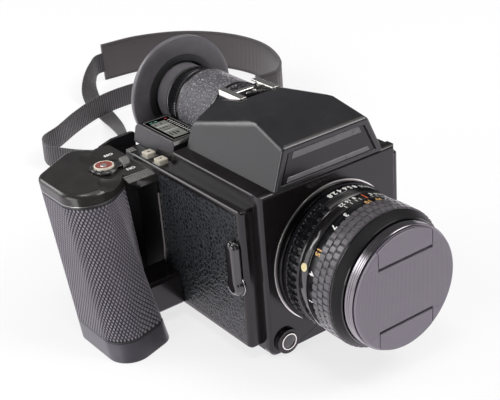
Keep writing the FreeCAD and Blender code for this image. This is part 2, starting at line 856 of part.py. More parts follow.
def make_eyepiece_glass():
    body = new_body("eyepiece_glass")
    turned(body, [
        ("0", "eye_glass_front"), ("tube_bore_radius", "eye_glass_front"),
        ("tube_bore_radius", "eye_glass_front + eye_glass_thick * 2 / 3"),
        ("0.6 * tube_bore_radius", "eye_glass_front + eye_glass_thick"),
        ("0", "eye_glass_front + eye_glass_thick")])
    around(body, "0", "eye_height")
    return body


def add_ribs(body, radius, depth, start, length, count, share, side="", sector=360):
    """Grooves across a ring's rim, patterned round the ring's own Y axis from its top or, with "-", its foot."""
    spacing = f"(2 * pi * {radius} * ({sector}) / 360 / {count})"
    half = f"{spacing} * {share} / 2"
    cut(body, "XZ_Plane", start, length,
        box(f"-{half}", f"{side}({radius} - {depth})", half, f"{side}({radius} + {depth})"))
    groove = body.Tip
    if sector == 360:
        repeat_round(body, groove, 360, count)
    else:
        for other_way in (False, True):
            repeat_round(body, groove, f"{sector} / 2", f"{count} / 2 + 1").Reversed = other_way


def repeat_round(body, groove, angle, count):
    """Copies of a groove spread over an angle about the body's own Y axis."""
    pattern = body.newObject("PartDesign::PolarPattern", body.Name + "_pattern")
    pattern.Originals = [groove]
    pattern.Axis = (next(i for i in body.Origin.OriginFeatures if i.Role == "Y_Axis"), [""])
    tie(pattern, "Angle", angle)
    tie(pattern, "Occurrences", count)
    body.Tip = pattern
    return pattern


def make_dioptre_ring():
    body = new_body("dioptre_ring")
    turned(body, [
        ("tube_nose_radius + turning_fit", "dioptre_front"), ("dioptre_radius", "dioptre_front"),
        ("dioptre_radius", "dioptre_back"), ("tube_nose_radius + turning_fit", "dioptre_back")])
    add_ribs(body, "dioptre_radius", "dioptre_groove_depth", "-dioptre_back",
             "dioptre_back - dioptre_front", "dioptre_grooves", "0.45")
    around(body, "0", "eye_height")
    return body


def make_eyecup():
    """A rubber cup folded back on itself: a sleeve, a lip round the eye and a wide disc."""
    body = new_body("eyecup")
    sleeve = "tube_nose_radius + cup_sleeve_wall"
    hollow = "cup_hollow_radius"
    turned(body, [
        ("tube_nose_radius", "cup_sleeve_front"), (sleeve, "cup_sleeve_front"),
        (sleeve, "cup_back - cup_wall"), (hollow, "cup_back - 2 * cup_wall"),
        (hollow, "cup_disc_front"), ("cup_radius - cup_wall", "cup_disc_front - 0.4 * cup_wall"),
        ("cup_radius", "cup_disc_front"), ("cup_radius", "cup_disc_front + cup_disc_thick"),
        ("cup_hollow_radius + cup_wall", "cup_disc_front + cup_disc_thick"),
        ("cup_hollow_radius + cup_wall", "cup_back - cup_wall"),
        (f"{sleeve}", "cup_back"), ("tube_nose_radius", "cup_back")])
    around(body, "0", "eye_height")
    return body


# Mirror and shutter


def make_reflex_mirror():
    """A glass plate at 45 degrees on a pin that runs across the chamber."""
    body = new_body("reflex_mirror")
    reach = "mirror_length * sqrt(0.5)"
    deep = "mirror_thick * sqrt(0.5)"
    pad(body, "YZ_Plane", "-mirror_half_width", "2 * mirror_half_width", [
        ("mirror_pivot_y", "mirror_pivot_height"),
        (f"mirror_pivot_y - {reach}", f"mirror_pivot_height - {reach}"),
        (f"mirror_pivot_y - {reach} + {deep}", f"mirror_pivot_height - {reach} - {deep}"),
        (f"mirror_pivot_y + {deep}", f"mirror_pivot_height - {deep}")])
    pad(body, "YZ_Plane", "-(chamber_half_width - pin_end_gap)", "2 * (chamber_half_width - pin_end_gap)",
        centre=("mirror_pivot_y", "mirror_pivot_height"), radius="mirror_pin_radius")
    return body


def make_shutter_frame():
    body = new_body("shutter_frame")
    pad(body, "XZ_Plane", "-film_plane", "gate_thick",
        box("-chamber_half_width", "chamber_floor", "chamber_half_width", "chamber_top"))
    cut(body, "XZ_Plane", "-film_plane", "gate_thick",
        box("-gate_half_width", "lens_height - gate_half_height",
            "gate_half_width", "lens_height + gate_half_height"))
    return body


def make_shutter_curtain():
    body = new_body("shutter_curtain")
    pad(body, "XZ_Plane", "-(film_plane - gate_thick - curtain_gap)", "curtain_thick",
        box("-(gate_half_width + curtain_edge)", "chamber_floor + 2 * drum_radius",
            "gate_half_width + curtain_edge", "chamber_top - 2 * drum_radius"))
    return body


def make_curtain_drums():
    """The two rollers that the curtain winds between, top and bottom."""
    members = []
    place = "film_plane - gate_thick - drum_radius - curtain_gap"
    for height in ("chamber_floor + drum_radius + curtain_gap", "chamber_top - drum_radius - curtain_gap"):
        body = new_body("drum")
        pad(body, "YZ_Plane", "-drum_half_length", "2 * drum_half_length",
            centre=(place, height), radius="drum_radius")
        members.append(body)
    return group("curtain_drums", members)


# Lens


def make_lens_mount():
    body = new_body("lens_mount")
    turned(body, [("mount_bore", "-front_ahead"), ("mount_radius", "-front_ahead"),
                  ("mount_radius", "-mount_ahead"), ("mount_bore", "-mount_ahead")])
    around(body, "0", "lens_height")
    return body


def make_lens_tube():
    """The fixed tube that the lens's rings turn on."""
    body = new_body("lens_tube")
    turned(body, [("tube_inner_radius", "-mount_ahead"), ("tube_outer_radius", "-mount_ahead"),
                  ("tube_outer_radius", "-lens_tube_ahead"), ("tube_inner_radius", "-lens_tube_ahead")])
    around(body, "0", "lens_height")
    return body


def make_aperture_ring():
    """The ring with the aperture numbers, ribbed all round but for the plain field that carries them."""
    body = new_body("aperture_ring")
    start = "mount_ahead + ring_play"
    end = "aperture_ahead"
    bore = "tube_outer_radius + turning_fit"
    turned(body, [
        (bore, f"-({start})"), ("aperture_radius", f"-({start})"), ("aperture_radius", f"-({end} - 1.6)"),
        ("aperture_radius - 1.2", f"-{end}"), (bore, f"-{end}")])
    add_ribs(body, "aperture_radius", "aperture_rib_depth", f"{start} + 2.4",
             f"{end} - ({start}) - 2.4", "aperture_ribs", "0.4", "-", "aperture_rib_sector")
    body.Placement.Rotation = Rotation(Vector(0, 1, 0), size("aperture_plain_angle"))
    around(body, "0", "lens_height")
    return body


def make_index_ring():
    body = new_body("index_ring")
    start = "aperture_ahead + ring_play"
    turned(body, [
        ("tube_outer_radius", f"-({start})"), ("index_radius", f"-({start})"),
        ("index_radius", "-index_ahead"), ("tube_outer_radius", "-index_ahead")])
    around(body, "0", "lens_height")
    return body


def make_focus_ring():
    body = new_body("focus_ring")
    start = "index_ahead + ring_play"
    bore = "tube_outer_radius + turning_fit"
    turned(body, [
        (bore, f"-({start})"), ("focus_radius", f"-({start})"), ("focus_radius", "-focus_ahead"),
        (bore, "-focus_ahead")])
    around(body, "0", "lens_height")
    return body


def make_focus_rubber():
    body = new_body("focus_rubber")
    outer = "focus_radius + focus_rubber_rise"
    turned(body, [
        ("focus_radius", "-focus_rubber_start"), (outer, "-focus_rubber_start"),
        (outer, "-focus_ahead"), ("focus_radius", "-focus_ahead")])
    add_ribs(body, f"({outer})", "focus_rib_depth", "focus_rubber_start",
             "focus_ahead - focus_rubber_start", "focus_ribs", "0.25")
    around(body, "0", "lens_height")
    return body


def make_front_barrel():
    """The inner barrel with the name ring in front, which the helicoid carries forwards."""
    body = new_body("front_barrel")
    sleeve = "tube_inner_radius - barrel_play"
    neck = "focus_ahead + ring_play"
    turned(body, [
        (sleeve, "-barrel_start_ahead"), (sleeve, f"-({neck})"), ("name_ring_radius", f"-({neck})"),
        ("name_ring_radius", f"-({neck} + 1)"), ("name_ring_front_radius", "-name_ring_ahead"),
        ("filter_radius - 0.8", "-name_ring_ahead"), ("filter_radius - 0.8", "-(name_ring_ahead + 0.8)"),
        ("filter_radius", "-(name_ring_ahead + 0.8)"), ("filter_radius", "-barrel_front_ahead"),
        ("filter_thread_radius", "-barrel_front_ahead"),
        ("filter_thread_radius", "-(barrel_front_ahead - cap_skirt_depth - 1)"),
        ("front_seat_radius", "-(front_seat_ahead + front_glass_thick)"),
        ("front_seat_radius", "-front_seat_ahead"), ("inner_bore_radius", "-front_seat_ahead"),
        ("inner_bore_radius", "-(barrel_start_ahead + rear_glass_thick)"),
        ("rear_seat_radius", "-(barrel_start_ahead + rear_glass_thick)"),
        ("rear_seat_radius", "-barrel_start_ahead")])
    around(body, "0", "lens_height")
    return body


def make_glass(name, radius, back, front, bulge):
    """A lens element whose front bows forwards by bulge."""
    body = new_body(name)
    turned(body, [("0", f"-({back})"), (radius, f"-({back})"), (radius, f"-({front})"),
                  (f"0.5 * {radius}", f"-({front} + {bulge})"), ("0", f"-({front} + {bulge})")])
    around(body, "0", "lens_height")
    return body


def make_lens_cap():
    """A shallow cap whose face is notched above and below for the pinch tabs."""
    body = new_body("lens_cap")
    back = "barrel_front_ahead + cap_gap"
    face = f"{back} + cap_thick"
    skirt = "cap_skirt_radius"
    turned(body, [
        ("0", f"-({back})"), (f"{skirt} - cap_skirt_wall", f"-({back})"),
        (f"{skirt} - cap_skirt_wall", f"-({back} - cap_skirt_depth)"),
        (skirt, f"-({back} - cap_skirt_depth)"), (skirt, f"-({back})"), ("cap_radius", f"-({back})"),
        ("cap_radius", f"-({face} - 0.6)"), ("cap_radius - 0.6", f"-({face})"), ("0", f"-({face})")])
    around(body, "0", "lens_height")
    wide = "tab_half_width + tab_play"
    notch = "tab_inner - tab_travel - tab_play"
    slot = "tab_leg_half + tab_play"
    for side in ("", "-"):
        cut(body, "XZ_Plane", f"{face} - tab_thick - tab_play", "tab_thick + 2 * tab_play",
            box(f"-({wide})", f"{side}({notch})", wide, f"{side}(cap_radius + 1)"))
        cut(body, "XZ_Plane", f"{back} - cap_skirt_depth - 1", "cap_skirt_depth + 1",
            box(f"-({wide})", f"{side}({notch})", wide, f"{side}(cap_radius + 1)"))
        cut(body, "XZ_Plane", back, "cap_thick",
            box(f"-({slot})", f"{side}(tab_leg_low - tab_travel - tab_play)", slot,
                f"{side}(tab_leg_high + tab_play)"))
    return body


def make_cap_tab(name, side):
    """A pinch tab in the notch of the cap's face, with a leg that grips the filter thread."""
    face = "barrel_front_ahead + cap_gap + cap_thick"
    body = new_body(name)
    pad(body, "XZ_Plane", f"{face} - tab_thick", "tab_thick",
        box("-tab_half_width", f"{side}tab_inner", "tab_half_width", f"{side}cap_radius"))
    trim_to_round(body, f"{face} - tab_thick - 1", "tab_thick + 2")
    pad(body, "XZ_Plane", f"{face} - tab_thick - tab_leg_reach", "tab_leg_reach",
        box("-tab_leg_half", f"{side}tab_leg_low", "tab_leg_half", f"{side}tab_leg_high"))
    around(body, "0", "lens_height")
    return body


def trim_to_round(body, start, length):
    """Cut away what of a tab stands outside the cap's round."""
    drawing = new_sketch(body, "XZ_Plane", start)
    draw_circle(drawing, ("0", "0"), "2 * cap_radius")
    draw_circle(drawing, ("0", "0"), "cap_radius - 0.3")
    feature = body.newObject("PartDesign::Pocket", body.Name + "_round")
    feature.Profile = drawing
    feature.Reversed = True
    tie(feature, "Length", length)
    return feature


# Levers and buttons


def make_depth_lever():
    """A flat lever on a pivot pin in the side cover, widening to a hub at its foot."""
    body = new_body("depth_lever")
    tip = "lever_tip_half"
    face = "-(cover_half_width + ring_play + lever_thick)"
    pad(body, "YZ_Plane", face, "lever_thick", centre=("lever_y", "lever_height"), radius="lever_hub_radius")
    pad(body, "YZ_Plane", face, "lever_thick",
        box(f"lever_y - {tip}", "lever_height", f"lever_y + {tip}", "lever_tip_height"))
    pad(body, "YZ_Plane", "-(cover_half_width + ring_play)", "ring_play + lever_pin_depth - button_gap",
        centre=("lever_y", "lever_height"), radius="lever_pin_radius")
    outer = -size("cover_half_width") - size("ring_play") - size("lever_thick")
    bevelled(body, "edge_bevel / 3", lambda e: near(e.BoundBox.XMax, outer))
    return body


def make_lens_release():
    body = new_body("lens_release")
    back = "front_ahead - front_plate_thick + release_travel + button_gap"
    front = "front_ahead + collar_rise + 0.6"
    turned(body, [("0", f"-({back})"), ("release_radius", f"-({back})"), ("release_radius", f"-({front} - 0.4)"),
                  ("release_radius - 0.4", f"-({front})"), ("0", f"-({front})")])
    around(body, "0", "release_height")
    tie(body, "Placement.Base.x", "release_x")
    return body


def make_shutter_button():
    body = new_body("shutter_button")
    seat = "grip_top - shutter_dish_depth"
    turned(body, [
        ("0", f"{seat} - shutter_well + shutter_travel + button_gap"),
        ("shutter_radius", f"{seat} - shutter_well + shutter_travel + button_gap"),
        ("shutter_radius", f"{seat} + shutter_rise - 0.7"), ("shutter_radius - 0.7", f"{seat} + shutter_rise"),
        ("release_socket_radius", f"{seat} + shutter_rise"),
        ("release_socket_radius", f"{seat} + shutter_rise - release_socket_depth"),
        ("0", f"{seat} + shutter_rise - release_socket_depth")], role="XZ_Plane")
    tie(body, "Placement.Base.x", "shutter_x")
    tie(body, "Placement.Base.y", "shutter_y")
    return body


# the paddle of the main switch, from the button's axis, with the switch at its front stop
SWITCH_PADDLE = [(4.5, 2.0), (7.4, 1.6), (11.4, -0.4), (11.4, -4.5), (9.6, -9.4), (6.2, -10.6), (5.4, -5.0)]


def make_main_switch():
    """A ring round the shutter button with a paddle over the bridge."""
    floor = size("bridge_top") + size("switch_gap")
    seat = size("grip_top") - size("shutter_dish_depth") + size("switch_gap")
    corners = [Vector(x, y, floor) for x, y in SWITCH_PADDLE]
    paddle = Part.Face(Part.makePolygon(corners + corners[:1])).extrude(Vector(0, 0, size("switch_thick")))
    tall = floor + size("switch_thick") - seat
    ring = Part.makeCylinder(size("switch_outer_radius"), tall, Vector(0, 0, seat))
    bore = Part.makeCylinder(size("switch_inner_radius"), 3 * tall, Vector(0, 0, seat - tall))
    lever = shape_node("main_switch", ring.fuse(paddle).cut(bore).removeSplitter())
    lever.Placement = Placement(Vector(size("shutter_x"), size("shutter_y"), 0), Rotation())
    return lever


# Hand grip

# the grip's corners at the floor and at the top, from its rear outer corner round the front, each with its rounding
GRIP_FOOT = [(-101.5, 50, 8), (-101, 2.5, 10), (-67.5, 13, 8), (-66.5, 30, 6), (-67, 57, 8)]
GRIP_HEAD = [(-98, 79.5, 9), (-97.8, 38.2, 7), (-76, 42.3, 12), (-63, 49.8, 8), (-61.5, 102, 8.5)]


ROUND_CHORDS = 6


def grip_section(height, out):
    """The grip's rounded outline at a height, moved outwards by out."""
    share = height / size("grip_top")
    mixed = [tuple(a + (b - a) * share for a, b in zip(low, high)) for low, high in zip(GRIP_FOOT, GRIP_HEAD)]
    return rounded_wire([(x, y) for x, y, _ in mixed], [r for _, _, r in mixed], height, out)


def rounded_wire(corners, rounds, height, out):
    """A closed wire through the corners, moved outwards by out, each corner rounded in short chords."""
    count = len(corners)
    points = [Vector(x, y, height) for x, y in corners]
    moved = []
    for i in range(count):
        first = (points[i] - points[i - 1]).normalize()
        second = (points[(i + 1) % count] - points[i]).normalize()
        first_out, second_out = Vector(first.y, -first.x, 0), Vector(second.y, -second.x, 0)
        middle = (first_out + second_out).normalize()
        moved.append(points[i] + middle * (out / middle.dot(first_out)))
    outline = []
    for i in range(count):
        here = moved[i]
        back = (moved[i - 1] - here).normalize()
        forth = (moved[(i + 1) % count] - here).normalize()
        half = math.acos(back.dot(forth)) / 2
        radius = rounds[i] + out
        centre = here + (back + forth).normalize() * (radius / math.sin(half))
        spoke = here + back * (radius / math.tan(half)) - centre
        swing = math.pi - 2 * half
        for step in range(ROUND_CHORDS + 1):
            angle = math.atan2(spoke.y, spoke.x) + swing * step / ROUND_CHORDS
            outline.append(Vector(centre.x + radius * math.cos(angle), centre.y + radius * math.sin(angle), height))
    return Part.makePolygon(outline + outline[:1])


def grip_loft(low, high, out):
    return Part.makeLoft([grip_section(low, out), grip_section(high, out)], True, True)


def grip_form():
    """The whole grip below its cap, the plain band at its foot included."""
    band = size("grip_foot_band")
    return grip_loft(0, band, 0).fuse(grip_loft(band, size("grip_cap_foot"), 0))


def battery_form(floor, gap):
    """The leaning space for the batteries above a floor, drawn in by gap."""
    lean, top = size("battery_lean"), size("battery_top") - gap
    low_x, high_x = size("battery_outer_x") + gap, size("battery_inner_x") - gap
    front, rear = size("battery_front") + gap + lean * floor, size("battery_rear") - gap + lean * floor
    corners = [Vector(low_x, front, floor), Vector(high_x, front, floor),
               Vector(high_x, rear, floor), Vector(low_x, rear, floor)]
    rise = top - floor
    return Part.Face(Part.makePolygon(corners + corners[:1])).extrude(Vector(0, lean * rise, rise))


def battery_lid(gap):
    """The plate that closes the space from below, drawn in by gap."""
    edge = size("battery_cover_edge") - gap
    low = Vector(size("battery_outer_x") - edge, size("battery_front") - edge, gap)
    wide = size("battery_inner_x") - size("battery_outer_x") + 2 * edge
    deep = size("battery_rear") - size("battery_front") + 2 * edge
    return Part.makeBox(wide, deep, size("battery_cover_thick") - gap, low)


def make_grip_core():
    core = grip_loft(size("grip_foot_band"), size("grip_cap_foot"), -size("rubber_thick"))
    core = core.fuse(grip_loft(0, size("grip_foot_band"), 0))
    return shape_node("grip_core", core.cut(battery_form(0, 0)).cut(battery_lid(0)))


def make_battery_cover():
    return shape_node("battery_cover", battery_lid(size("button_gap")))


def make_battery_holder():
    gap = size("battery_gap")
    return shape_node("battery_holder", battery_form(size("battery_cover_thick") + gap, gap))


def make_grip_rubber():
    low, high = size("grip_foot_band"), size("grip_cap_foot")
    skin = grip_loft(low, high, 0).cut(grip_loft(low, high, -size("rubber_thick")))
    return shape_node("grip_rubber", skin)


def make_grip_cap():
    """The top moulding: the grip's lid, dished round the button, and the lower bridge to the body."""
    low, high, top = size("grip_cap_foot"), size("grip_top"), size("bridge_top")
    lid = grip_loft(low, high, size("cap_overhang"))
    edge, slope = size("bridge_edge"), size("bridge_slope")
    front, back = size("bridge_front"), size("bridge_back")
    outer, inner = size("bridge_outer_x"), -size("cover_half_width")
    profile = [Vector(inner, front, low), Vector(inner, front, top - edge), Vector(inner, front + slope, top),
               Vector(inner, back, top), Vector(inner, back, low)]
    plate = Part.Face(Part.makePolygon(profile + profile[:1])).extrude(Vector(outer - inner, 0, 0))
    stud = Part.makeCylinder(size("lug_radius"), size("lug_length"),
                             Vector(size("near_lug_x"), back, size("lug_height")), Vector(0, 1, 0))
    beyond = Part.makeBox(-inner, 2 * back, high, Vector(inner, 0, 0))
    cap = lid.cut(beyond).fuse([plate, stud]).removeSplitter()
    centre = Vector(size("shutter_x"), size("shutter_y"), high - size("shutter_dish_depth"))
    cap = cap.cut(Part.makeCylinder(size("shutter_dish_radius"), high, centre))
    well = Part.makeCylinder(size("shutter_radius") + size("button_gap"), size("shutter_well"),
                             centre - Vector(0, 0, size("shutter_well")))
    return shape_node("grip_cap", cap.cut(well))


def cut_by_grip(name, blank):
    """A bracket whose outer end follows the grip's skin."""
    blank.Label = name + "_blank"
    grip = shape_node(name + "_grip", grip_form())
    trimmed = doc.addObject("Part::Cut", name)
    trimmed.Base = blank
    trimmed.Tool = grip
    trimmed.Label = name
    return trimmed


def make_grip_bridge():
    body = new_body("bridge_blank")
    pad(body, "XY_Plane", "bracket_top", "grip_cap_foot - bracket_top",
        box("grip_seat_x", "bridge_web_front", "-cover_half_width", "bridge_web_back"))
    return cut_by_grip("grip_bridge", body)


def make_grip_bracket():
    body = new_body("bracket_blank")
    pad(body, "XY_Plane", "bracket_floor", "bracket_top - bracket_floor",
        box("grip_seat_x", "bracket_front", "-cover_half_width", "bracket_back"))
    front = size("bracket_front")
    bevelled(body, "edge_bevel", lambda e: near(e.BoundBox.YMax, front) and along(e, 0))
    return cut_by_grip("grip_bracket", body)


# Film back


def make_film_back():
    """The door at the rear, notched round the eyepiece, with a dish for the latch key."""
    body = new_body("film_back")
    front = "body_back + back_gap"
    rear = f"{front} + back_thick"
    pad(body, "XZ_Plane", f"-({rear})", "back_thick",
        box("-back_half_width", "back_floor", "back_half_width", "back_top"))
    rounded(body, "back_round", lambda e: along(e, 1))
    back = size(rear)
    bevelled(body, "edge_bevel", lambda e: near(e.BoundBox.YMin, back))
    cut(body, "XZ_Plane", f"-({rear})", "back_thick", centre=("0", "eye_height"), radius="back_notch_radius")
    cut(body, "XZ_Plane", f"-({rear})", "latch_dish_depth",
        centre=("0", "latch_height"), radius="latch_radius + 2 * ring_play")
    return body


def make_back_panel():
    body = new_body("back_panel")
    rear = "body_back + back_gap + back_thick"
    edge = "back_panel_edge"
    pad(body, "XZ_Plane", f"-({rear} + panel_thick)", "panel_thick",
        box(f"-back_half_width + {edge}", f"back_floor + {edge}", f"back_half_width - {edge}",
            f"eye_height - back_notch_radius - {edge}"))
    cut(body, "XZ_Plane", f"-({rear} + panel_thick)", "panel_thick",
        centre=("0", "latch_height"), radius="latch_radius + 4 * ring_play")
    return body


def make_latch_key():
    """A round key in the back with a wing to turn it by."""
    body = new_body("latch_key")
    floor = "body_back + back_gap + back_thick - latch_dish_depth + button_gap"
    pad(body, "XZ_Plane", f"-({floor} + latch_thick)", "latch_thick",
        centre=("0", "0"), radius="latch_radius")
    pad(body, "XZ_Plane", f"-({floor} + 2.2 * latch_thick)", "1.2 * latch_thick",
        box("-latch_radius * 0.85", "-latch_wing_half", "latch_radius * 0.85", "latch_wing_half"))
    around(body, "0", "latch_height")
    return body


def make_film_insert():
    """The film carrier: a tray with the pressure plate in front and end cheeks for the spools."""
    body = new_body("film_insert")
    rear = "body_back + back_gap"
    pad(body, "XZ_Plane", f"-({rear})", f"{rear} - insert_front",
        box("-insert_half_width", "insert_floor", "insert_half_width", "insert_top"))
    cut(body, "XZ_Plane", "-(body_back - insert_wall)", "body_back - insert_wall - insert_front",
        box("-(insert_half_width - insert_wall)", "insert_floor",
            "insert_half_width - insert_wall", "insert_top"))
    pad(body, "XZ_Plane", "-(insert_front + pressure_plate_thick)", "pressure_plate_thick",
        box("-(insert_half_width - insert_wall)", "lens_height - gate_half_height - 2",
            "insert_half_width - insert_wall", "lens_height + gate_half_height + 2"))
    return body


def make_spool(name, height):
    body = new_body(name)
    turned(body, [
        ("-(insert_half_width - insert_wall - pin_end_gap)", "0"),
        ("-(insert_half_width - insert_wall - pin_end_gap)", "spool_pin_radius"),
        ("-spool_half_length", "spool_pin_radius"),
        ("-spool_half_length", "spool_flange_radius"),
        ("-(spool_half_length - spool_flange_thick)", "spool_flange_radius"),
        ("-(spool_half_length - spool_flange_thick)", "spool_core_radius"),
        ("spool_half_length - spool_flange_thick", "spool_core_radius"),
        ("spool_half_length - spool_flange_thick", "spool_flange_radius"),
        ("spool_half_length", "spool_flange_radius"), ("spool_half_length", "spool_pin_radius"),
        ("insert_half_width - insert_wall - pin_end_gap", "spool_pin_radius"),
        ("insert_half_width - insert_wall - pin_end_gap", "0")], axis="H_Axis")
    tie(body, "Placement.Base.y", "spool_y")
    tie(body, "Placement.Base.z", height)
    return body


# Neck strap

# each place on the strap: across, back, height of its lowest edge, and its turn from upright to flat in degrees
WEB_ROUTE = [(49.6, 98, 58, 0), (41, 128, 37, 0), (25, 166, 17, 0), (6, 205, 4, 0),
             (-7, 232, 0.6, 0), (-13, 249, 0, 0), (-9, 262, 0, 0), (8, 272, 0.2, 0), (28, 284, 1, 0),
             (48, 292, 2.2, 0), (75, 298, 2.2, 0), (92, 299, 1.4, 0), (106, 293, 1, 0), (113, 278, 2, 0),
             (116, 258, 4, 0), (122, 238, 6, 0), (129, 223, 7, 0), (136, 216.8, 7.2, 0), (141, 216, 7.2, 0)]
PAD_ROUTE = [(141, 216, 0, 0), (157, 214, 0, 0), (171, 226, 0, 0), (181, 245, 0, 0), (187, 268, 0, 0),
             (186, 294, 0, 0), (176, 322, 0, 0), (157, 345, 0, 0), (128, 360, 0, 0), (98, 363, 0, 0)]
TAIL_ROUTE = [(98, 363, 7.2, 0), (93, 363.2, 6.8, 0), (84, 356, 4.5, 10), (75, 345, 1.5, 35), (68, 333, 0.3, 65),
              (64, 320, 0.1, 85), (61, 304, 0.1, 90), (58, 289, 0.1, 90), (53, 272, 1.6, 85), (44, 250, 6, 75),
              (30, 220, 15, 65), (8, 178, 32, 60), (-14, 136, 52, 60)]


def band(route, widths, thick):
    """A flat band along a route, lofted from one four-cornered section at each place."""
    sections = []
    last = len(route) - 1
    for i, (x, y, lift, turn) in enumerate(route):
        before, after = route[max(i - 1, 0)], route[min(i + 1, last)]
        heading = Vector(after[0] - before[0], after[1] - before[1], 0).normalize()
        across = Vector(heading.y, -heading.x, 0)
        lean = math.radians(turn)
        wide = (Vector(0, 0, math.cos(lean)) + across * math.sin(lean)) * (widths[i] / 2)
        deep = (Vector(0, 0, math.sin(lean)) - across * math.cos(lean)) * (thick / 2)
        centre = Vector(x, y, lift + wide.z + deep.z)
        corners = [centre - wide - deep, centre + wide - deep, centre + wide + deep, centre - wide + deep]
        sections.append(Part.makePolygon(corners + corners[:1]))
    return Part.makeLoft(sections, True, True)


def make_strap_webbing():
    """The ribbed webbing, from the clip on the far cover to the pad."""
    start = (size("cover_half_width + 1.2"), size("far_lug_y + 20.6"), size("lug_height - 8"), 0)
    route = [start] + WEB_ROUTE
    return shape_node("strap_webbing", band(route, [size("web_width")] * len(route), size("web_thick")))


def make_strap_pad():
    return shape_node("strap_pad", band(PAD_ROUTE, [size("pad_width")] * len(PAD_ROUTE), size("pad_thick")))


def make_strap_tail():
    """The end of the strap, which narrows from the webbing's width to the slot in the clip."""
    wide, narrow = size("web_width"), size("tail_width")
    route = TAIL_ROUTE + [(size("near_lug_x + 17.9"), size("bridge_back + 7"), size("lug_height - 4.5"), 60)]
    last = len(route) - 1
    widths = [wide + (narrow - wide) * min(1, max(0, (i - 2) / (last - 4))) for i in range(last + 1)]
    return shape_node("strap_tail", band(route, widths, size("tail_thick")))


# a strap clip's outline, from the lug's axis along the clip and up
CLIP_OUTLINE = [(-3.4, -1.5), (-2.4, 2.6), (6, 5), (18, 5.4), (20, 4.6), (20, -7), (18, -8), (6, -5.4), (-2.4, -3.4)]


def make_strap_clips():
    """The two plates that hang on the lugs, one beside the far cover and one behind the grip's bridge."""
    thick, gap = size("clip_thick"), size("clip_gap")
    far = Vector(size("cover_half_width") + gap, size("far_lug_y"), size("lug_height"))
    near_lug = Vector(size("near_lug_x"), size("bridge_back") + gap, size("lug_height"))
    members = []
    for lug, forward, out in ((far, Vector(0, 1, 0), Vector(1, 0, 0)), (near_lug, Vector(1, 0, 0), Vector(0, 1, 0))):
        corners = [lug + forward * run + Vector(0, 0, rise) for run, rise in CLIP_OUTLINE]
        plate = Part.Face(Part.makePolygon(corners + corners[:1])).extrude(out * thick)
        hole = Part.makeCylinder(size("lug_radius") + size("button_gap"), thick, lug, out)
        members.append(shape_node("clip", plate.cut(hole)))
    return group("strap_clips", members)


MAKERS = [
    make_front_plate, make_mirror_box, make_base_plate, make_tripod_bush,
    lambda: fit_grip_side_cover(make_side_cover("grip_side_cover", -1, "panel_back")),
    lambda: fit_far_side_cover(make_side_cover("far_side_cover", 1, "far_panel_back")),
    make_side_panels, make_side_catch,
    make_display_housing, make_display_window, make_far_top_housing,
    lambda: make_key("upper_key", "upper_key_y"), lambda: make_key("lower_key", "lower_key_y"),
    make_finder_housing, make_name_plate, make_finder_prism, make_focusing_screen,
    make_shoe_bed, make_shoe_rails,
    make_eyepiece_tube, make_eyepiece_glass, make_dioptre_ring, make_eyecup,
    make_reflex_mirror, make_shutter_frame, make_shutter_curtain, make_curtain_drums,
    make_lens_mount, make_lens_tube, make_aperture_ring, make_index_ring, make_focus_ring,
    make_focus_rubber, make_front_barrel,
    lambda: make_glass("front_glass", "front_seat_radius", "front_seat_ahead",
                       "front_seat_ahead + front_glass_thick", "glass_bulge"),
    lambda: make_glass("rear_glass", "rear_seat_radius", "barrel_start_ahead",
                       "barrel_start_ahead + rear_glass_thick", "glass_bulge"),
    make_lens_cap, lambda: make_cap_tab("upper_cap_tab", ""), lambda: make_cap_tab("lower_cap_tab", "-"),
    make_depth_lever, make_lens_release, make_shutter_button, make_main_switch,
    make_grip_core, make_grip_rubber, make_grip_cap, make_grip_bridge, make_grip_bracket,
    make_battery_holder, make_battery_cover,
    make_film_back, make_back_panel, make_latch_key, make_film_insert,
    lambda: make_spool("supply_spool", "supply_height"), lambda: make_spool("takeup_spool", "takeup_height"),
    make_strap_webbing, make_strap_pad, make_strap_tail, make_strap_clips,
]

nodes = [make() for make in MAKERS]
doc.recompute()

for thing in doc.Objects:
    if "Invalid" in thing.State or "Error" in thing.State:
        raise ValueError(f"{thing.Label} failed")
for node in nodes:
    if node.Shape.isNull() or not node.Shape.isValid():
        raise ValueError(f"{node.Label} has no valid shape")

os.makedirs("parts", exist_ok=True)
for node in nodes:
    node.Shape.exportStep(f"parts/{node.Label}.step")
print(len(nodes), "nodes written")
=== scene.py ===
import math

import bmesh
import bpy
import numpy as np
from mathutils import Matrix, Vector


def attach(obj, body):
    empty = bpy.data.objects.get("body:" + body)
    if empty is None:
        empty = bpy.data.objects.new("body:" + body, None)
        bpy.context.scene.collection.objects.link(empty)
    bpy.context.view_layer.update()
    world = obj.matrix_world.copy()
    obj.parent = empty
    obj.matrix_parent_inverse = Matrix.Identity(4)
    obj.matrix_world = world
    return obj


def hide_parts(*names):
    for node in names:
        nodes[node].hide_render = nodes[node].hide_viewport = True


# Medium format film camera with a capped standard lens, a hand grip and a neck strap.
# Lengths below are millimetres in the frame's axes; a mesh is made in metres.

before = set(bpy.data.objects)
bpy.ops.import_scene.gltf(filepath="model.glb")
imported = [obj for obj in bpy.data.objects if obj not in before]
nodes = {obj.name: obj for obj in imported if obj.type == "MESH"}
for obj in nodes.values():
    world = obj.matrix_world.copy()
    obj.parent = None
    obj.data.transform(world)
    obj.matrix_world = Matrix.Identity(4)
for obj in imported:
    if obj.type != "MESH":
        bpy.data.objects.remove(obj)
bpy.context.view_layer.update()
print("frame loaded,", len(nodes), "nodes")

millimetre = 0.001
# points nearer than this, in metres, are one
mergeWithin = 2e-6
lensHeight = 44.8
eyeHeight = 93.5
wholeTurn = 2 * math.pi
finishes = {}


# Camera and light

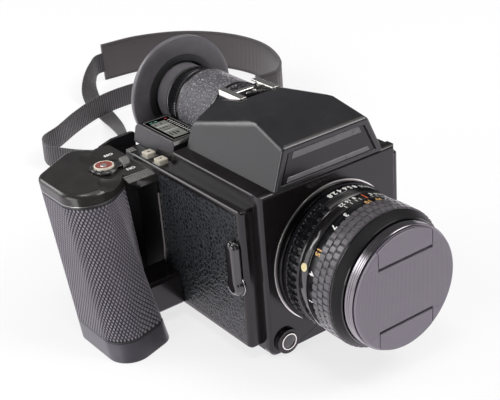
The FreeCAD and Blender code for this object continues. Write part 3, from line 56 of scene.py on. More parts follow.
view = {
    "place": (-310.0, -415.35, 322.24),
    "right": (0.798839, -0.597269, -0.071599),
    "up": (0.321683, 0.323575, 0.889842),
    "back": (-0.508307, -0.733873, 0.450615),
    "lens": 82.8,
    "sensor": 36.0,
}
studio = {
    # the floor's glow, mixed in by the lift share: white for the view, brighter and tinted in reflections as
    # painted light
    "floor": "#f6f6f8", "glowTintInReflections": "#f4eef6", "shine": 2.0, "lift": 0.75,
    "world": "#f3f4f8", "worldStrength": 0.2,
    # each lamp in metres: place, height of its aim on the axis, width, height, watts and tint
    "lamps": {
        "overheadPanel": ((0.9, -0.1, 2.0), 0.0, 1.7, 2.1, 16, "#fff8f2"),
        "topStrip": ((-0.3, -0.15, 1.9), 0.05, 0.6, 0.4, 7, "#ffffff"),
        "backSoftbox": ((-0.77, 1.24, 0.87), 0.05, 0.9, 0.6, 10, "#ffffff"),
        "frontSoftbox": ((0.92, -0.81, 1.31), 0.05, 0.8, 0.6, 12, "#ffffff"),
        "sidePanel": ((-1.15, 1.2, 0.4), 0.1, 0.9, 0.7, 3.2, "#ffffff"),
        "leftSoftbox": ((-1.3, -0.1, 0.45), 0.05, 0.9, 0.6, 9, "#ffffff"),
    },
}


def newObject(name, data):
    thing = bpy.data.objects.new(name, data)
    bpy.context.scene.collection.objects.link(thing)
    return thing


def linear(code):
    # An sRGB hex colour as linear red, green, blue and alpha.
    share = np.array([int(code[i:i + 2], 16) for i in (1, 3, 5)]) / 255
    flat = np.where(share <= 0.04045, share / 12.92, ((share + 0.055) / 1.055) ** 2.4)
    return (*[float(v) for v in flat], 1.0)


def addNode(tree, kind, links=None, **settings):
    node = tree.nodes.new(kind)
    for field, value in settings.items():
        setattr(node, field, value)
    for socket, value in (links or {}).items():
        if isinstance(value, bpy.types.NodeSocket):
            tree.links.new(value, node.inputs[socket])
        else:
            node.inputs[socket].default_value = value
    return node


def maths(tree, way, *values):
    return addNode(tree, "ShaderNodeMath", dict(enumerate(values)), operation=way).outputs[0]


def vectorMaths(tree, way, links):
    return addNode(tree, "ShaderNodeVectorMath", links, operation=way).outputs[0]


cameraData = bpy.data.cameras.new("camera")
cameraData.lens, cameraData.sensor_width = view["lens"], view["sensor"]
cameraData.clip_start, cameraData.clip_end = 0.02, 20
camera = newObject("camera", cameraData)
facing = Matrix([view["right"], view["up"], view["back"]]).transposed().to_4x4()
camera.matrix_world = Matrix.Translation(Vector(view["place"]) * millimetre) @ facing
bpy.context.scene.camera = camera
bpy.context.scene.view_settings.view_transform = "Standard"

world = bpy.data.worlds.new("studio")
bpy.context.scene.world = world
world.use_nodes = True
tree = world.node_tree
tree.nodes.clear()
path = addNode(tree, "ShaderNodeLightPath").outputs
seen = maths(tree, "MAXIMUM", path["Is Camera Ray"], path["Is Transmission Ray"])
room = addNode(tree, "ShaderNodeBackground", {
    "Color": linear(studio["world"]), "Strength": studio["worldStrength"]})
white = addNode(tree, "ShaderNodeBackground", {"Color": (1, 1, 1, 1), "Strength": 1.0})
mixed = addNode(tree, "ShaderNodeMixShader", {0: seen, 1: room.outputs[0], 2: white.outputs[0]})
addNode(tree, "ShaderNodeOutputWorld", {"Surface": mixed.outputs[0]})

for name, (place, aim, width, height, watts, tint) in studio["lamps"].items():
    data = bpy.data.lights.new(name, "AREA")
    data.shape, data.size, data.size_y, data.energy = "RECTANGLE", width, height, watts
    data.color = linear(tint)[:3]
    lamp = newObject(name, data)
    lamp.location = place
    lamp.rotation_euler = (Vector((0, 0, aim)) - Vector(place)).to_track_quat("-Z", "Y").to_euler()


# Meshes

def meshFrom(name, points, faces):
    mesh = bpy.data.meshes.new(name)
    mesh.from_pydata((np.asarray(points, float) * millimetre).tolist(), [], [list(map(int, f)) for f in faces])
    return mesh


def reshape(mesh, work):
    # Lets a function work on the mesh's points and faces.
    form = bmesh.new()
    form.from_mesh(mesh)
    work(form)
    form.to_mesh(mesh)
    form.free()


def finishPiece(piece, finish, body="camera_body", smoothAngle=35.0):
    mesh = piece.data
    mesh.materials.clear()
    mesh.materials.append(finishes[finish])
    mesh.polygons.foreach_set("use_smooth", np.ones(len(mesh.polygons), bool))
    mesh.set_sharp_from_angle(angle=math.radians(smoothAngle))
    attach(piece, body)
    return piece


def placePiece(name, points, faces, finish, body="camera_body", slot=None, smoothAngle=35.0, solid=True,
               uv=None, worn=None, node=None):
    # A mesh from points in millimetres, with merged doubles and outward faces, riding on a body.
    mesh = meshFrom(name, points, faces)
    if uv is not None:
        layer = mesh.uv_layers.new(name="UVMap")
        loops = np.empty(len(mesh.loops), int)
        mesh.loops.foreach_get("vertex_index", loops)
        layer.data.foreach_set("uv", np.asarray(uv, float)[loops].ravel())
    if worn is not None:
        mesh.attributes.new("worn", "FLOAT", "POINT").data.foreach_set("value", np.asarray(worn, float))

    def clean(form):
        bmesh.ops.remove_doubles(form, verts=form.verts, dist=mergeWithin)
        bmesh.ops.dissolve_degenerate(form, edges=form.edges, dist=1e-6)
        if solid:
            bmesh.ops.recalc_face_normals(form, faces=form.faces)

    reshape(mesh, clean)
    piece = finishPiece(newObject(name, mesh), finish, body, smoothAngle)
    if node:
        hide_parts(node)
    return piece


def gridFaces(rows, columns, wrapRows=False, wrapColumns=False):
    # Quads between neighbours of a grid of points, closed round either way.
    i = np.arange(rows if wrapRows else rows - 1)[:, None]
    j = np.arange(columns if wrapColumns else columns - 1)[None, :]
    i, j = np.broadcast_arrays(i, j)
    down, across = (i + 1) % rows, (j + 1) % columns
    quads = np.stack([i * columns + j, down * columns + j, down * columns + across, i * columns + across], -1)
    return quads.reshape(-1, 4)


def stackRings(rings):
    # A solid through rings of one count of points, closed across the first and the last.
    count, last = len(rings[0]), len(rings) * len(rings[0])
    faces = [tuple(f) for f in gridFaces(len(rings), count, wrapColumns=True)]
    return np.vstack(rings), faces + [tuple(reversed(range(count))), tuple(range(last - count, last))]


def joinParts(parts):
    # Several solids' points and faces as those of one mesh.
    points, faces, count = [], [], 0
    for some, theirs in parts:
        points.append(np.asarray(some, float).reshape(-1, 3))
        faces += [tuple(int(i) + count for i in face) for face in theirs]
        count += len(points[-1])
    return np.concatenate(points), faces


def unit(vectors):
    return vectors / np.maximum(np.linalg.norm(vectors, axis=-1, keepdims=True), 1e-9)


def circle(steps, low=0.0, high=wholeTurn, endpoint=False):
    # Cosine and sine in steps round a circle, or round a part of one.
    around = np.linspace(low, high, steps, endpoint=endpoint)
    return np.stack([np.cos(around), np.sin(around)], -1)


def softCorners(corners, size, steps=4):
    # A closed flat outline with every corner replaced by a short curve: (1-t)^2 A + 2t(1-t) P + t^2 B.
    points = np.asarray(corners, float)
    before, after = np.roll(points, 1, 0), np.roll(points, -1, 0)
    reach = np.minimum(np.linalg.norm(points - before, axis=1), np.linalg.norm(after - points, axis=1)) * 0.45
    reach = np.minimum(reach, np.broadcast_to(size, len(points)))[:, None]
    start, end = points + unit(before - points) * reach, points + unit(after - points) * reach
    t = np.linspace(0, 1, steps)[None, :, None]
    curve = (1 - t) ** 2 * start[:, None] + 2 * t * (1 - t) * points[:, None] + t ** 2 * end[:, None]
    return curve.reshape(-1, points.shape[1])


def ringPoint(radius, angle, ahead, height=lensHeight):
    # A place round the lens axis: angle from the top towards the grip's side.
    radius, angle, ahead = np.broadcast_arrays(radius, angle, ahead)
    return np.stack([-radius * np.sin(angle), -ahead, height + radius * np.cos(angle)], -1)


def turnedPiece(name, profile, finish, body="camera_body", slot=None, steps=128, soft=None, height=lensHeight,
                across=0.0, upright=None, relief=None, **more):
    # A closed profile of (radius, ahead) carried round an axis along Y, or of (radius, up) round an upright
    # one. Soft rounds its corners, but for those on the axis. A relief gives each point's change of radius from
    # its radius, angle and place along the axis.
    profile = np.asarray(profile, float)
    if soft:
        profile = softCorners(profile, np.where(profile[:, 0] < 1e-6, 0.0, soft), 3)
    angle = np.linspace(0, wholeTurn, steps, endpoint=False)[None, :]
    radius, ahead = profile[:, :1] + 0 * angle, profile[:, 1:2] + 0 * angle
    if relief:
        radius = radius + relief(radius, angle + 0 * radius, ahead)
    if upright:
        points = np.stack([upright[0] + radius * np.cos(angle), upright[1] + radius * np.sin(angle), ahead], -1)
    else:
        points = ringPoint(radius, angle, ahead, height) + [across, 0, 0]
    faces = gridFaces(len(profile), steps, wrapRows=True, wrapColumns=True)
    return placePiece(name, points.reshape(-1, 3), faces, finish, body, slot, **more)


def settle(piece):
    # What the modifiers give becomes the piece's own mesh.
    settled = bpy.data.meshes.new_from_object(piece.evaluated_get(bpy.context.evaluated_depsgraph_get()))
    piece.modifiers.clear()
    piece.data = settled
    settled.name = piece.name


def weighNormals(piece):
    # Normals weighted by face area, so that broad faces stay flat and only the rounded edges bend the light.
    piece.modifiers.new("weigh", "WEIGHTED_NORMAL").keep_sharp = True
    settle(piece)


def carve(piece, solids):
    # Takes the solids out of the piece, one after the other.
    for points, faces in solids:
        mesh = meshFrom("knife", points, faces)
        reshape(mesh, lambda form: bmesh.ops.recalc_face_normals(form, faces=form.faces))
        knife = newObject("knife", mesh)
        shave = piece.modifiers.new("shave", "BOOLEAN")
        shave.operation, shave.object, shave.solver = "DIFFERENCE", knife, "EXACT"
        settle(piece)
        bpy.data.objects.remove(knife)


def joinFlats(form):
    # Merges points that lie on each other and joins faces that lie in one plane within a degree.
    bmesh.ops.remove_doubles(form, verts=form.verts, dist=mergeWithin)
    bmesh.ops.dissolve_limit(form, angle_limit=math.radians(1.0), verts=form.verts, edges=form.edges)


def nodeCopy(node, name=None):
    # The node's own form with merged points and flat faces joined, named after it.
    first, *rest = node.split("_")
    name = name or first + "".join(word.title() for word in rest)
    piece = newObject(name, nodes[node].data.copy())
    reshape(piece.data, joinFlats)
    return piece


def roundedCopy(node, width, finish, body="camera_body", name=None, angle=28.0,
                smoothAngle=40.0):
    # A copy of the node with every edge sharper than the angle rounded.
    piece = nodeCopy(node, name)
    bevel = piece.modifiers.new("edges", "BEVEL")
    bevel.width, bevel.segments, bevel.limit_method = width * millimetre, 3, "ANGLE"
    bevel.angle_limit, bevel.miter_outer = math.radians(angle), "MITER_ARC"
    settle(piece)
    finishPiece(piece, finish, body, smoothAngle)
    weighNormals(piece)
    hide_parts(node)


def weighEdges(piece, widths, flattest=20.0):
    # Marks each edge with its share of the widest rounding: the first test that holds for an edge's middle
    # and direction gives its width. Edges flatter than so many degrees stay. Returns the widest.
    widest = max(width for _, width in widths)

    def work(form):
        weight = form.edges.layers.float.new("bevel_weight_edge")
        for edge in form.edges:
            if len(edge.link_faces) != 2 or edge.calc_face_angle(0) < math.radians(flattest):
                continue
            ends = [vert.co / millimetre for vert in edge.verts]
            middle, along = (ends[0] + ends[1]) / 2, (ends[1] - ends[0]).normalized()
            edge[weight] = next((width / widest for test, width in widths if test(middle, along)), 0.0)

    reshape(piece.data, work)
    return widest


def bevelByWeight(piece, width, segments, clamp, mitre="MITER_ARC"):
    # Rounds the marked edges, those of full weight by the width.
    bevel = piece.modifiers.new("edges", "BEVEL")
    bevel.width, bevel.segments, bevel.limit_method = width * millimetre, segments, "WEIGHT"
    bevel.miter_outer, bevel.use_clamp_overlap = mitre, clamp
    settle(piece)


def bevelByPlace(node, widths, finish, segments=4, before=(), after=(), clamp=False):
    # A copy of the node with its edges rounded by place, and with solids taken out before and after that.
    piece = nodeCopy(node)
    carve(piece, before)
    reshape(piece.data, joinFlats)
    bevelByWeight(piece, weighEdges(piece, widths), segments, clamp)
    carve(piece, after)
    finishPiece(piece, finish, "camera_body", 40.0)
    weighNormals(piece)
    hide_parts(node)


def ellipsoid(centre, radii, rows=24, columns=48):
    # Points of a closed ellipsoid with single poles.
    up = np.linspace(0, math.pi, rows)[1:-1, None]
    around = np.linspace(0, wholeTurn, columns, endpoint=False)[None, :]
    shape = np.stack([np.sin(up) * np.cos(around), np.sin(up) * np.sin(around), np.cos(up) + 0 * around], -1)
    shape = shape.reshape(-1, 3)
    points = np.vstack([shape, [(0, 0, 1)], [(0, 0, -1)]]) * radii + centre
    faces = [tuple(f) for f in gridFaces(rows - 2, columns, wrapColumns=True)]
    last = (rows - 3) * columns
    faces += [(len(shape), (j + 1) % columns, j) for j in range(columns)]
    faces += [(len(shape) + 1, last + j, last + (j + 1) % columns) for j in range(columns)]
    return points, faces


def insetOutline(outline, inset):
    # The outline drawn in: each point moves along the mean of its two edges' normals.
    before, after = np.roll(outline, 1, 0), np.roll(outline, -1, 0)
    both = unit(outline - before) + unit(after - outline)
    area = np.sum(outline[:, 0] * after[:, 1] - after[:, 0] * outline[:, 1])
    return outline - np.sign(area) * unit(np.stack([both[:, 1], -both[:, 0]], -1)) * inset


def layeredPlate(outline, levels, frameOf=lambda rings: rings):
    # A plate stacked from one outline: levels are (inset, height); frameOf places the points.
    outline = np.asarray(outline, float)
    rings = [np.column_stack([insetOutline(outline, inset), np.full(len(outline), up)]) for inset, up in levels]
    points, faces = stackRings(rings)
    return frameOf(points), faces


def rectangle(lowX, lowY, highX, highY):
    return [(lowX, lowY), (highX, lowY), (highX, highY), (lowX, highY)]


def levelBox(lowX, lowY, highX, highY, low, high, soft=0.1):
    # A flat slab with its upper edges drawn in.
    return layeredPlate(rectangle(lowX, lowY, highX, highY), [(0.0, low), (0.0, high - soft), (soft, high)])


def lettering(words, height, bold=0.0):
    # Flat letters as points and faces in millimetres, centred on their own middle.
    curve = bpy.data.curves.new("letters", "FONT")
    curve.body = words
    curve.align_x, curve.align_y = "CENTER", "CENTER"
    curve.size, curve.offset, curve.extrude, curve.resolution_u = 1.0, bold, 0.01, 2
    holder = newObject("letters", curve)
    mesh = bpy.data.meshes.new_from_object(holder.evaluated_get(bpy.context.evaluated_depsgraph_get()))
    points = np.empty(len(mesh.vertices) * 3)
    mesh.vertices.foreach_get("co", points)
    faces = [tuple(p.vertices) for p in mesh.polygons]
    bpy.data.objects.remove(holder)
    bpy.data.meshes.remove(mesh)
    bpy.data.curves.remove(curve)
    points = points.reshape(-1, 3)
    points[:, :2] -= (points[:, :2].max(0) + points[:, :2].min(0)) / 2
    return points * [height / 0.7, height / 0.7, 1.0], faces


def marksRound(name, marks, ahead, size, radius, finish, body="camera_body", lift=0.03):
    # Letters bent round a ring, their tops pointing forwards. A mark is (words, degrees).
    parts = []
    for words, degrees in marks:
        points, faces = lettering(words, size, 0.025)
        angle = math.radians(degrees) + points[:, 0] / radius
        parts.append((ringPoint(radius + lift + points[:, 2], angle, ahead + points[:, 1]), faces))
    placePiece(name, *joinParts(parts), finish, body, smoothAngle=30)


def barsRound(name, bars, radius, finish, body="camera_body", lift=0.03, thick=0.03):
    # Short printed bars on a ring. A bar is (degrees, wide, ahead from, ahead to).
    parts = []
    for degrees, wide, near, far in bars:
        angle = np.linspace(-wide / 2, wide / 2, 5) / radius + math.radians(degrees)
        corners = ((-thick, near), (thick, near), (thick, far), (-thick, far))
        grid = np.array([ringPoint(radius + lift + up, angle, ahead) for up, ahead in corners])
        parts.append(stackRings(grid.transpose(1, 0, 2)))
    placePiece(name, *joinParts(parts), finish, body)


print("tools ready")


# Finishes

def millimetres(tree, stretch=(1, 1, 1), middle=(0, 0, 0)):
    # Object coordinates counted in millimetres from a middle, stretched for a pattern.
    place = addNode(tree, "ShaderNodeTexCoord").outputs["Object"]
    middle = [m * millimetre for m in middle]
    moved = vectorMaths(tree, "SUBTRACT", {0: place, 1: middle})
    scale = [s / millimetre for s in stretch]
    return addNode(tree, "ShaderNodeMapping", {"Vector": moved, "Scale": scale}).outputs[0]


def startFinish(name, shader):
    material = bpy.data.materials.new(name)
    material.use_nodes = True
    surface = material.node_tree.nodes["Principled BSDF"]
    for socket, value in shader.items():
        surface.inputs[socket].default_value = value
    finishes[name] = material
    return material.node_tree, surface


def noise(tree, where, scale, detail):
    return addNode(tree, "ShaderNodeTexNoise", {"Vector": where, "Scale": scale, "Detail": detail}).outputs


def ramp(tree, value, *ends):
    # The value's range, from low to high, spread over another.
    return addNode(tree, "ShaderNodeMapRange", dict(enumerate((value, *ends)))).outputs[0]


def toneBetween(tree, factor, first, second):
    tones = [linear(tone) if isinstance(tone, str) else tone for tone in (first, second)]
    return addNode(tree, "ShaderNodeMix", {0: factor, 6: tones[0], 7: tones[1]}, data_type="RGBA").outputs[2]


def dress(tree, surface, tone, rough=None, height=None, depth=0.0):
    # Links the colour, the roughness and a height, as a bump of a depth in millimetres.
    tree.links.new(tone, surface.inputs["Base Color"])
    if rough:
        tree.links.new(rough, surface.inputs["Roughness"])
    if height:
        bump = addNode(tree, "ShaderNodeBump", {
            "Strength": 1.0, "Distance": depth * millimetre, "Height": height}).outputs[0]
        tree.links.new(bump, surface.inputs["Normal"])


def grainFinish(name, dark, light, smooth, rough, grain, patch, depth, **shader):
    # Fine grain in the surface, slow changes of tone, and a roughness that wanders with handling.
    tree, surface = startFinish(name, {socket.replace("_", " "): value for socket, value in shader.items()})
    where = millimetres(tree)
    slow = noise(tree, where, 1 / patch, 4.0)[0]
    dress(tree, surface, toneBetween(tree, ramp(tree, slow, 0.3, 0.7), dark, light),
          ramp(tree, slow, 0.3, 0.7, smooth, rough), noise(tree, where, 1 / grain, 2.0)[0], depth)


# two tones, least and greatest roughness, grain and slow patches in millimetres, depth of the grain
# satin enamel on the cast and moulded shell: deep grey, even sheen, the faintest orange peel
grainFinish("satinEnamel", "#120f10", "#181516", 0.17, 0.23, 0.5, 14, 0.003, Specular_IOR_Level=0.38)
# moulded ABS of the grip's inner shell, a lighter grey that is painted light for the bright low light its foot
# catches
grainFinish("floorLitGreyAbs", "#434147", "#514f55", 0.28, 0.36, 0.4, 14, 0.004)
# spark-eroded black ABS, whose fine pits break a reflection up into a soft grey sheen
grainFinish("erodedAbs", "#1b1a1c", "#222124", 0.22, 0.28, 0.3, 14, 0.004)
# the grip's top moulding, a slightly browner ABS polished by the palm
grainFinish("palmPolishedAbs", "#211f1e", "#292725", 0.22, 0.29, 0.4, 14, 0.004)
# die-cast alloy under black paint, inside the body where it is left dull
grainFinish("castAlloy", "#151516", "#1c1c1d", 0.5, 0.6, 0.6, 14, 0.02)
# hard anodised and turned lens parts: near black, tight highlights
grainFinish("anodisedLens", "#111113", "#171619", 0.13, 0.19, 0.35, 14, 0.002)
# matt black paint of the barrel's front cone, which takes no highlight
grainFinish("mattBlack", "#141314", "#1a191a", 0.5, 0.6, 0.4, 14, 0.004, Specular_IOR_Level=0.15)
# gloss enamel over turned aluminium, with a warm tint where it reflects
grainFinish("glossLens", "#131214", "#1a1817", 0.12, 0.17, 1.5, 14, 0.002, Coat_Weight=0.6, Coat_Roughness=0.08)
# soft black rubber of the eyecup with a bloom of fine dust
grainFinish("cupRubber", "#514f53", "#5f5c61", 0.3, 0.4, 0.6, 8, 0.012, Sheen_Weight=0.15, Sheen_Roughness=0.5)
# moulded focus rubber, a little glossy on the worn tops of its blocks
grainFinish("ringRubber", "#4a474b", "#5c585d", 0.24, 0.34, 0.3, 5, 0.01)
# pebble-moulded grip rubber, matt in its pits and greyed by handling
grainFinish("gripRubber", "#1b1a1d", "#232125", 0.36, 0.46, 0.25, 20, 0.01, Sheen_Weight=0.12,
            Sheen_Roughness=0.45)
# off-white enamel of the shutter button's rim
grainFinish("creamEnamel", "#d8d0bf", "#e8e1d2", 0.2, 0.26, 0.4, 2, 0.002)
# grey of the raised bands across the finder's plate
grainFinish("greyPaint", "#5d5b5e", "#6a686b", 0.26, 0.34, 0.3, 6, 0.003)
# beige ABS keys, slightly yellowed
grainFinish("beigeAbs", "#a9a394", "#c3bdae", 0.4, 0.5, 0.3, 3, 0.01)
# grey anodised switch paddle with a fine blasted grain
grainFinish("greyPaddle", "#6d6c6b", "#807f7c", 0.38, 0.46, 0.25, 3, 0.02)
# oxide-red lacquer of the shutter button's dish
grainFinish("redLacquer", "#7d3d36", "#95524a", 0.25, 0.34, 0.4, 2, 0.004)
# printing ink, opaque and slightly raised
grainFinish("whiteInk", "#dcdcd8", "#eeeeea", 0.45, 0.55, 0.2, 2, 0.004)
grainFinish("amberInk", "#c9995a", "#dbb072", 0.45, 0.55, 0.2, 2, 0.004)
grainFinish("orangeInk", "#c2552b", "#d4683a", 0.45, 0.55, 0.2, 2, 0.004)
grainFinish("ivoryPaint", "#d6c791", "#e6dab0", 0.3, 0.36, 0.3, 2, 0.004)
grainFinish("redInk", "#a03040", "#b84452", 0.4, 0.5, 0.2, 2, 0.004)
grainFinish("greenInk", "#4d8a76", "#5fa08a", 0.4, 0.5, 0.2, 2, 0.004)
# grey segment panel behind its window
grainFinish("segmentPanel", "#6c6d6a", "#7d7e79", 0.25, 0.32, 0.5, 6, 0.003)
# clear black acrylic round the segment panel
grainFinish("smokedAcrylic", "#0d0d0e", "#131313", 0.08, 0.12, 2.0, 14, 0.001)
# tough glass-filled nylon for spools and inner carriers
grainFinish("filledNylon", "#2d2c2e", "#38373a", 0.45, 0.55, 0.4, 14, 0.015)
# rubberised shutter cloth
grainFinish("shutterCloth", "#0e0e0f", "#151515", 0.6, 0.7, 0.2, 14, 0.02)


def studdedFinish(name, pitShade, tops, rough):
    # Moulded rubber toned by each point's share up its stud: painted dark as shade down in its pits, lighter
    # grey on the tops of its studs as painted light, and smoother there where they are worn.
    tree, surface = startFinish(name, {"Sheen Weight": 0.1, "Sheen Roughness": 0.45})
    worn = addNode(tree, "ShaderNodeAttribute", attribute_name="worn").outputs["Fac"]
    worked = toneBetween(tree, noise(tree, millimetres(tree), 0.06, 3.0)[0], *tops)
    dress(tree, surface, toneBetween(tree, maths(tree, "POWER", worn, 1.6), pitShade, worked),
          ramp(tree, worn, 0, 1, *rough))


# near black in the pits as painted shade, light grey tops as painted light
studdedFinish("studdedRubber", "#0d0d0f", ("#7a747e", "#8e8892"), (0.6, 0.3))


def metalFinish(name, dark, light, smooth, rough, grain, depth, brush=(1, 1, 1)):
    # Polished or brushed metal: long fine scratches along one axis and small changes in its gloss.
    tree, surface = startFinish(name, {"Metallic": 1.0})
    scratch = noise(tree, millimetres(tree, brush), 1 / grain, 3.0)[0]
    dress(tree, surface, toneBetween(tree, scratch, dark, light), ramp(tree, scratch, 0.3, 0.7, smooth, rough),
          scratch, depth)


# bright chromium plate on folded steel
metalFinish("chromePlate", "#cfcbc6", "#e4e0da", 0.08, 0.16, 0.5, 0.002, brush=(1, 0.2, 1))
# satin stainless steel
metalFinish("satinSteel", "#9a9997", "#b3b2b0", 0.25, 0.35, 0.3, 0.003, brush=(0.2, 1, 1))
# satin chromium of the thin bright rims
metalFinish("satinChrome", "#d3d0cc", "#e9e6e2", 0.3, 0.4, 0.3, 0.001)
# machined brass of the tripod bush
metalFinish("machinedBrass", "#b08d4a", "#c8a560", 0.25, 0.35, 0.3, 0.004)
# front-silvered mirror
metalFinish("silveredGlass", "#e6e8ea", "#f0f1f2", 0.02, 0.04, 4.0, 0.0002)
# black anodised aluminium of the filter ring, still a metal in its reflections
metalFinish("blackAnodised", "#757276", "#878387", 0.16, 0.24, 0.4, 0.001, brush=(1, 4, 1))
# black chromed flange with a bright turned rim
metalFinish("blackChrome", "#2a292b", "#353436", 0.2, 0.3, 0.3, 0.003)


def glassFinish(name, tint, coating):
    # Lens glass: a clear body, polished faces and a thin coating that colours what it reflects.
    tree, surface = startFinish(name, {
        "Transmission Weight": 0.85, "IOR": 1.6, "Roughness": 0.02, "Coat Weight": 0.5, "Coat Roughness": 0.02,
        "Coat Tint": linear(coating)})
    dress(tree, surface, toneBetween(tree, noise(tree, millimetres(tree), 0.08, 1.0)[0], tint, coating))


glassFinish("coatedGlass", "#c9cfd8", "#8a7bb0")
glassFinish("screenGlass", "#c6cdc9", "#9fb0a6")


def leatheretteFinish(name, look):
    # Pressed vinyl leatherette: wandering creases between low pebbles, the tone along each crease painted: with
    # a border of one its lip is a light line, a painted highlight, and with none it is a dark line of painted
    # shade between lighter pebbles.
    tree, surface = startFinish(name, look.get("shader", {}))
    where = millimetres(tree)
    pushed = vectorMaths(tree, "SUBTRACT", {0: noise(tree, where, 0.55, 2.0)["Color"], 1: (0.5, 0.5, 0.5)})
    pushed = vectorMaths(tree, "SCALE", {0: pushed, "Scale": look["wander"]})
    placed = vectorMaths(tree, "ADD", {0: where, 1: pushed})
    cells = addNode(tree, "ShaderNodeTexVoronoi", {"Vector": placed, "Scale": 1 / look["cell"]},
                    feature="DISTANCE_TO_EDGE").outputs[0]
    edges = dict(enumerate((cells, 0.0, look["lip"], look["border"], 1 - look["border"])))
    crease = addNode(tree, "ShaderNodeMapRange", edges, interpolation_type="SMOOTHSTEP").outputs[0]
    fine = noise(tree, where, 2.2, 3.0)[0]
    tone = maths(tree, "MULTIPLY", crease, ramp(tree, fine, 0.35, 0.65))
    dress(tree, surface, toneBetween(tree, tone, *look["tones"]), ramp(tree, fine, 0, 1, *look["roughness"]),
          maths(tree, "MULTIPLY_ADD", fine, 0.35, crease), look["depth"])


# near-black pebbles with light crease lips, a painted highlight
leatheretteFinish("leatherette", {
    "tones": ("#050607", "#484c52"), "roughness": (0.3, 0.4), "cell": 2.3, "lip": 0.25, "wander": 1.5,
    "depth": 0.22, "border": 1.0, "shader": {"Specular IOR Level": 0.3}})
# light pebbles as painted highlight, with the creases between them painted dark as shade
leatheretteFinish("tubeLeatherette", {
    "tones": ("#4a494d", "#bab7bf"), "roughness": (0.18, 0.28), "cell": 1.9, "lip": 0.45, "wander": 1.6,
    "depth": 0.5, "border": 0.0})


def capFinish(name, look):
    # Moulded cap plastic: a diamond of tiny raised dots in the middle band, smooth outside it.
    tree, surface = startFinish(name, {})
    where = millimetres(tree, middle=(0, 0, lensHeight))
    across, _, up = addNode(tree, "ShaderNodeSeparateXYZ", {0: where}).outputs
    pitch = wholeTurn / look["pitch"] / math.sqrt(2)
    waves = [maths(tree, "SINE", maths(tree, "MULTIPLY", maths(tree, way, across, up), pitch))
             for way in ("ADD", "SUBTRACT")]
    height = maths(tree, "ABSOLUTE", up)
    away = maths(tree, "ADD", maths(tree, "MULTIPLY", across, across), maths(tree, "MULTIPLY", up, up))
    masked = maths(tree, "MULTIPLY", maths(tree, "LESS_THAN", height, look["band"]),
                   maths(tree, "LESS_THAN", away, look["reach"] ** 2))
    dots = maths(tree, "MULTIPLY", maths(tree, "MULTIPLY", *waves), masked)
    relief = maths(tree, "MULTIPLY_ADD", maths(tree, "COMPARE", height, look["band"], look["seam"]), -3.0, dots)
    relief = maths(tree, "MULTIPLY_ADD", noise(tree, where, 3.0, 2.0)[0], 0.4, relief)
    slow = noise(tree, where, 0.06, 2.0)[0]
    dress(tree, surface, toneBetween(tree, slow, *look["tones"]), ramp(tree, slow, 0.3, 0.7, 0.42, 0.5), relief,
          look["depth"])


capFinish("capPlastic", {
    "tones": ("#706a74", "#7d7681"), "pitch": 1.15, "band": 17.3, "reach": 28.4, "seam": 0.14, "depth": 0.09})


def wovenFinish(name, look):
    # Ribbed nylon webbing: cords across the band, a fine diagonal weave in each, and a turned selvedge; the
    # grooves between the cords are painted darker as shade.
    tree, surface = startFinish(name, {"Sheen Weight": 0.25, "Sheen Roughness": 0.5})
    place = addNode(tree, "ShaderNodeUVMap", uv_map="UVMap").outputs[0]
    along, across, _ = addNode(tree, "ShaderNodeSeparateXYZ", {0: place}).outputs
    rib = ramp(tree, maths(tree, "SINE", maths(tree, "MULTIPLY", along, wholeTurn / look["rib"])), -1.0, 1.0)
    slant = maths(tree, "MULTIPLY_ADD", across, look["slant"], along)
    thread = maths(tree, "SINE", maths(tree, "MULTIPLY", slant, wholeTurn / look["thread"]))
    # the tone follows the rib: darker in the grooves between the cords, painted shade
    dress(tree, surface, toneBetween(tree, rib, *look["tones"]), ramp(tree, rib, 0, 1, 0.75, 0.55),
          maths(tree, "MULTIPLY_ADD", thread, 0.12, rib), look["depth"])


# ribs drawn at the real 2.1 mm, their threads coarser than the real 0.3 mm so that they show
wovenFinish("ribbedWebbing", {
    "tones": ("#1c1a1c", "#3a3639"), "rib": 2.1, "slant": 1.0, "thread": 0.9, "depth": 0.35})
wovenFinish("padSkin", {
    "tones": ("#3a3536", "#423c3d"), "rib": 0.9, "slant": 1.0, "thread": 0.7, "depth": 0.03})

# what shows of the solids' own nodes
carried = {
    "tripod_bush": "machinedBrass", "finder_prism": "coatedGlass", "focusing_screen": "screenGlass",
    "reflex_mirror": "silveredGlass", "shutter_frame": "castAlloy", "shutter_curtain": "shutterCloth",
    "curtain_drums": "satinSteel", "lens_tube": "anodisedLens", "battery_holder": "filledNylon",
    "display_window": "smokedAcrylic", "name_plate": "satinEnamel", "side_panels": "leatherette",
    "back_panel": "leatherette",
}
for node, finish in carried.items():
    nodes[node].data.materials.clear()
    nodes[node].data.materials.append(finishes[finish])
print("finishes ready")


# Body shell

shell = {"edge": 0.5, "coverEdge": 0.9}

# the chamfers of these stay and are shaded round
for node, width in (("front_plate", "edge"), ("mirror_box", "edge"), ("grip_side_cover", "coverEdge"),
                    ("far_side_cover", "edge")):
    roundedCopy(node, shell[width], "satinEnamel", angle=50.0, smoothAngle=62.0)
roundedCopy("display_housing", 0.6, "erodedAbs")
roundedCopy("far_top_housing", 0.6, "erodedAbs")
print("shell made")


# Lens

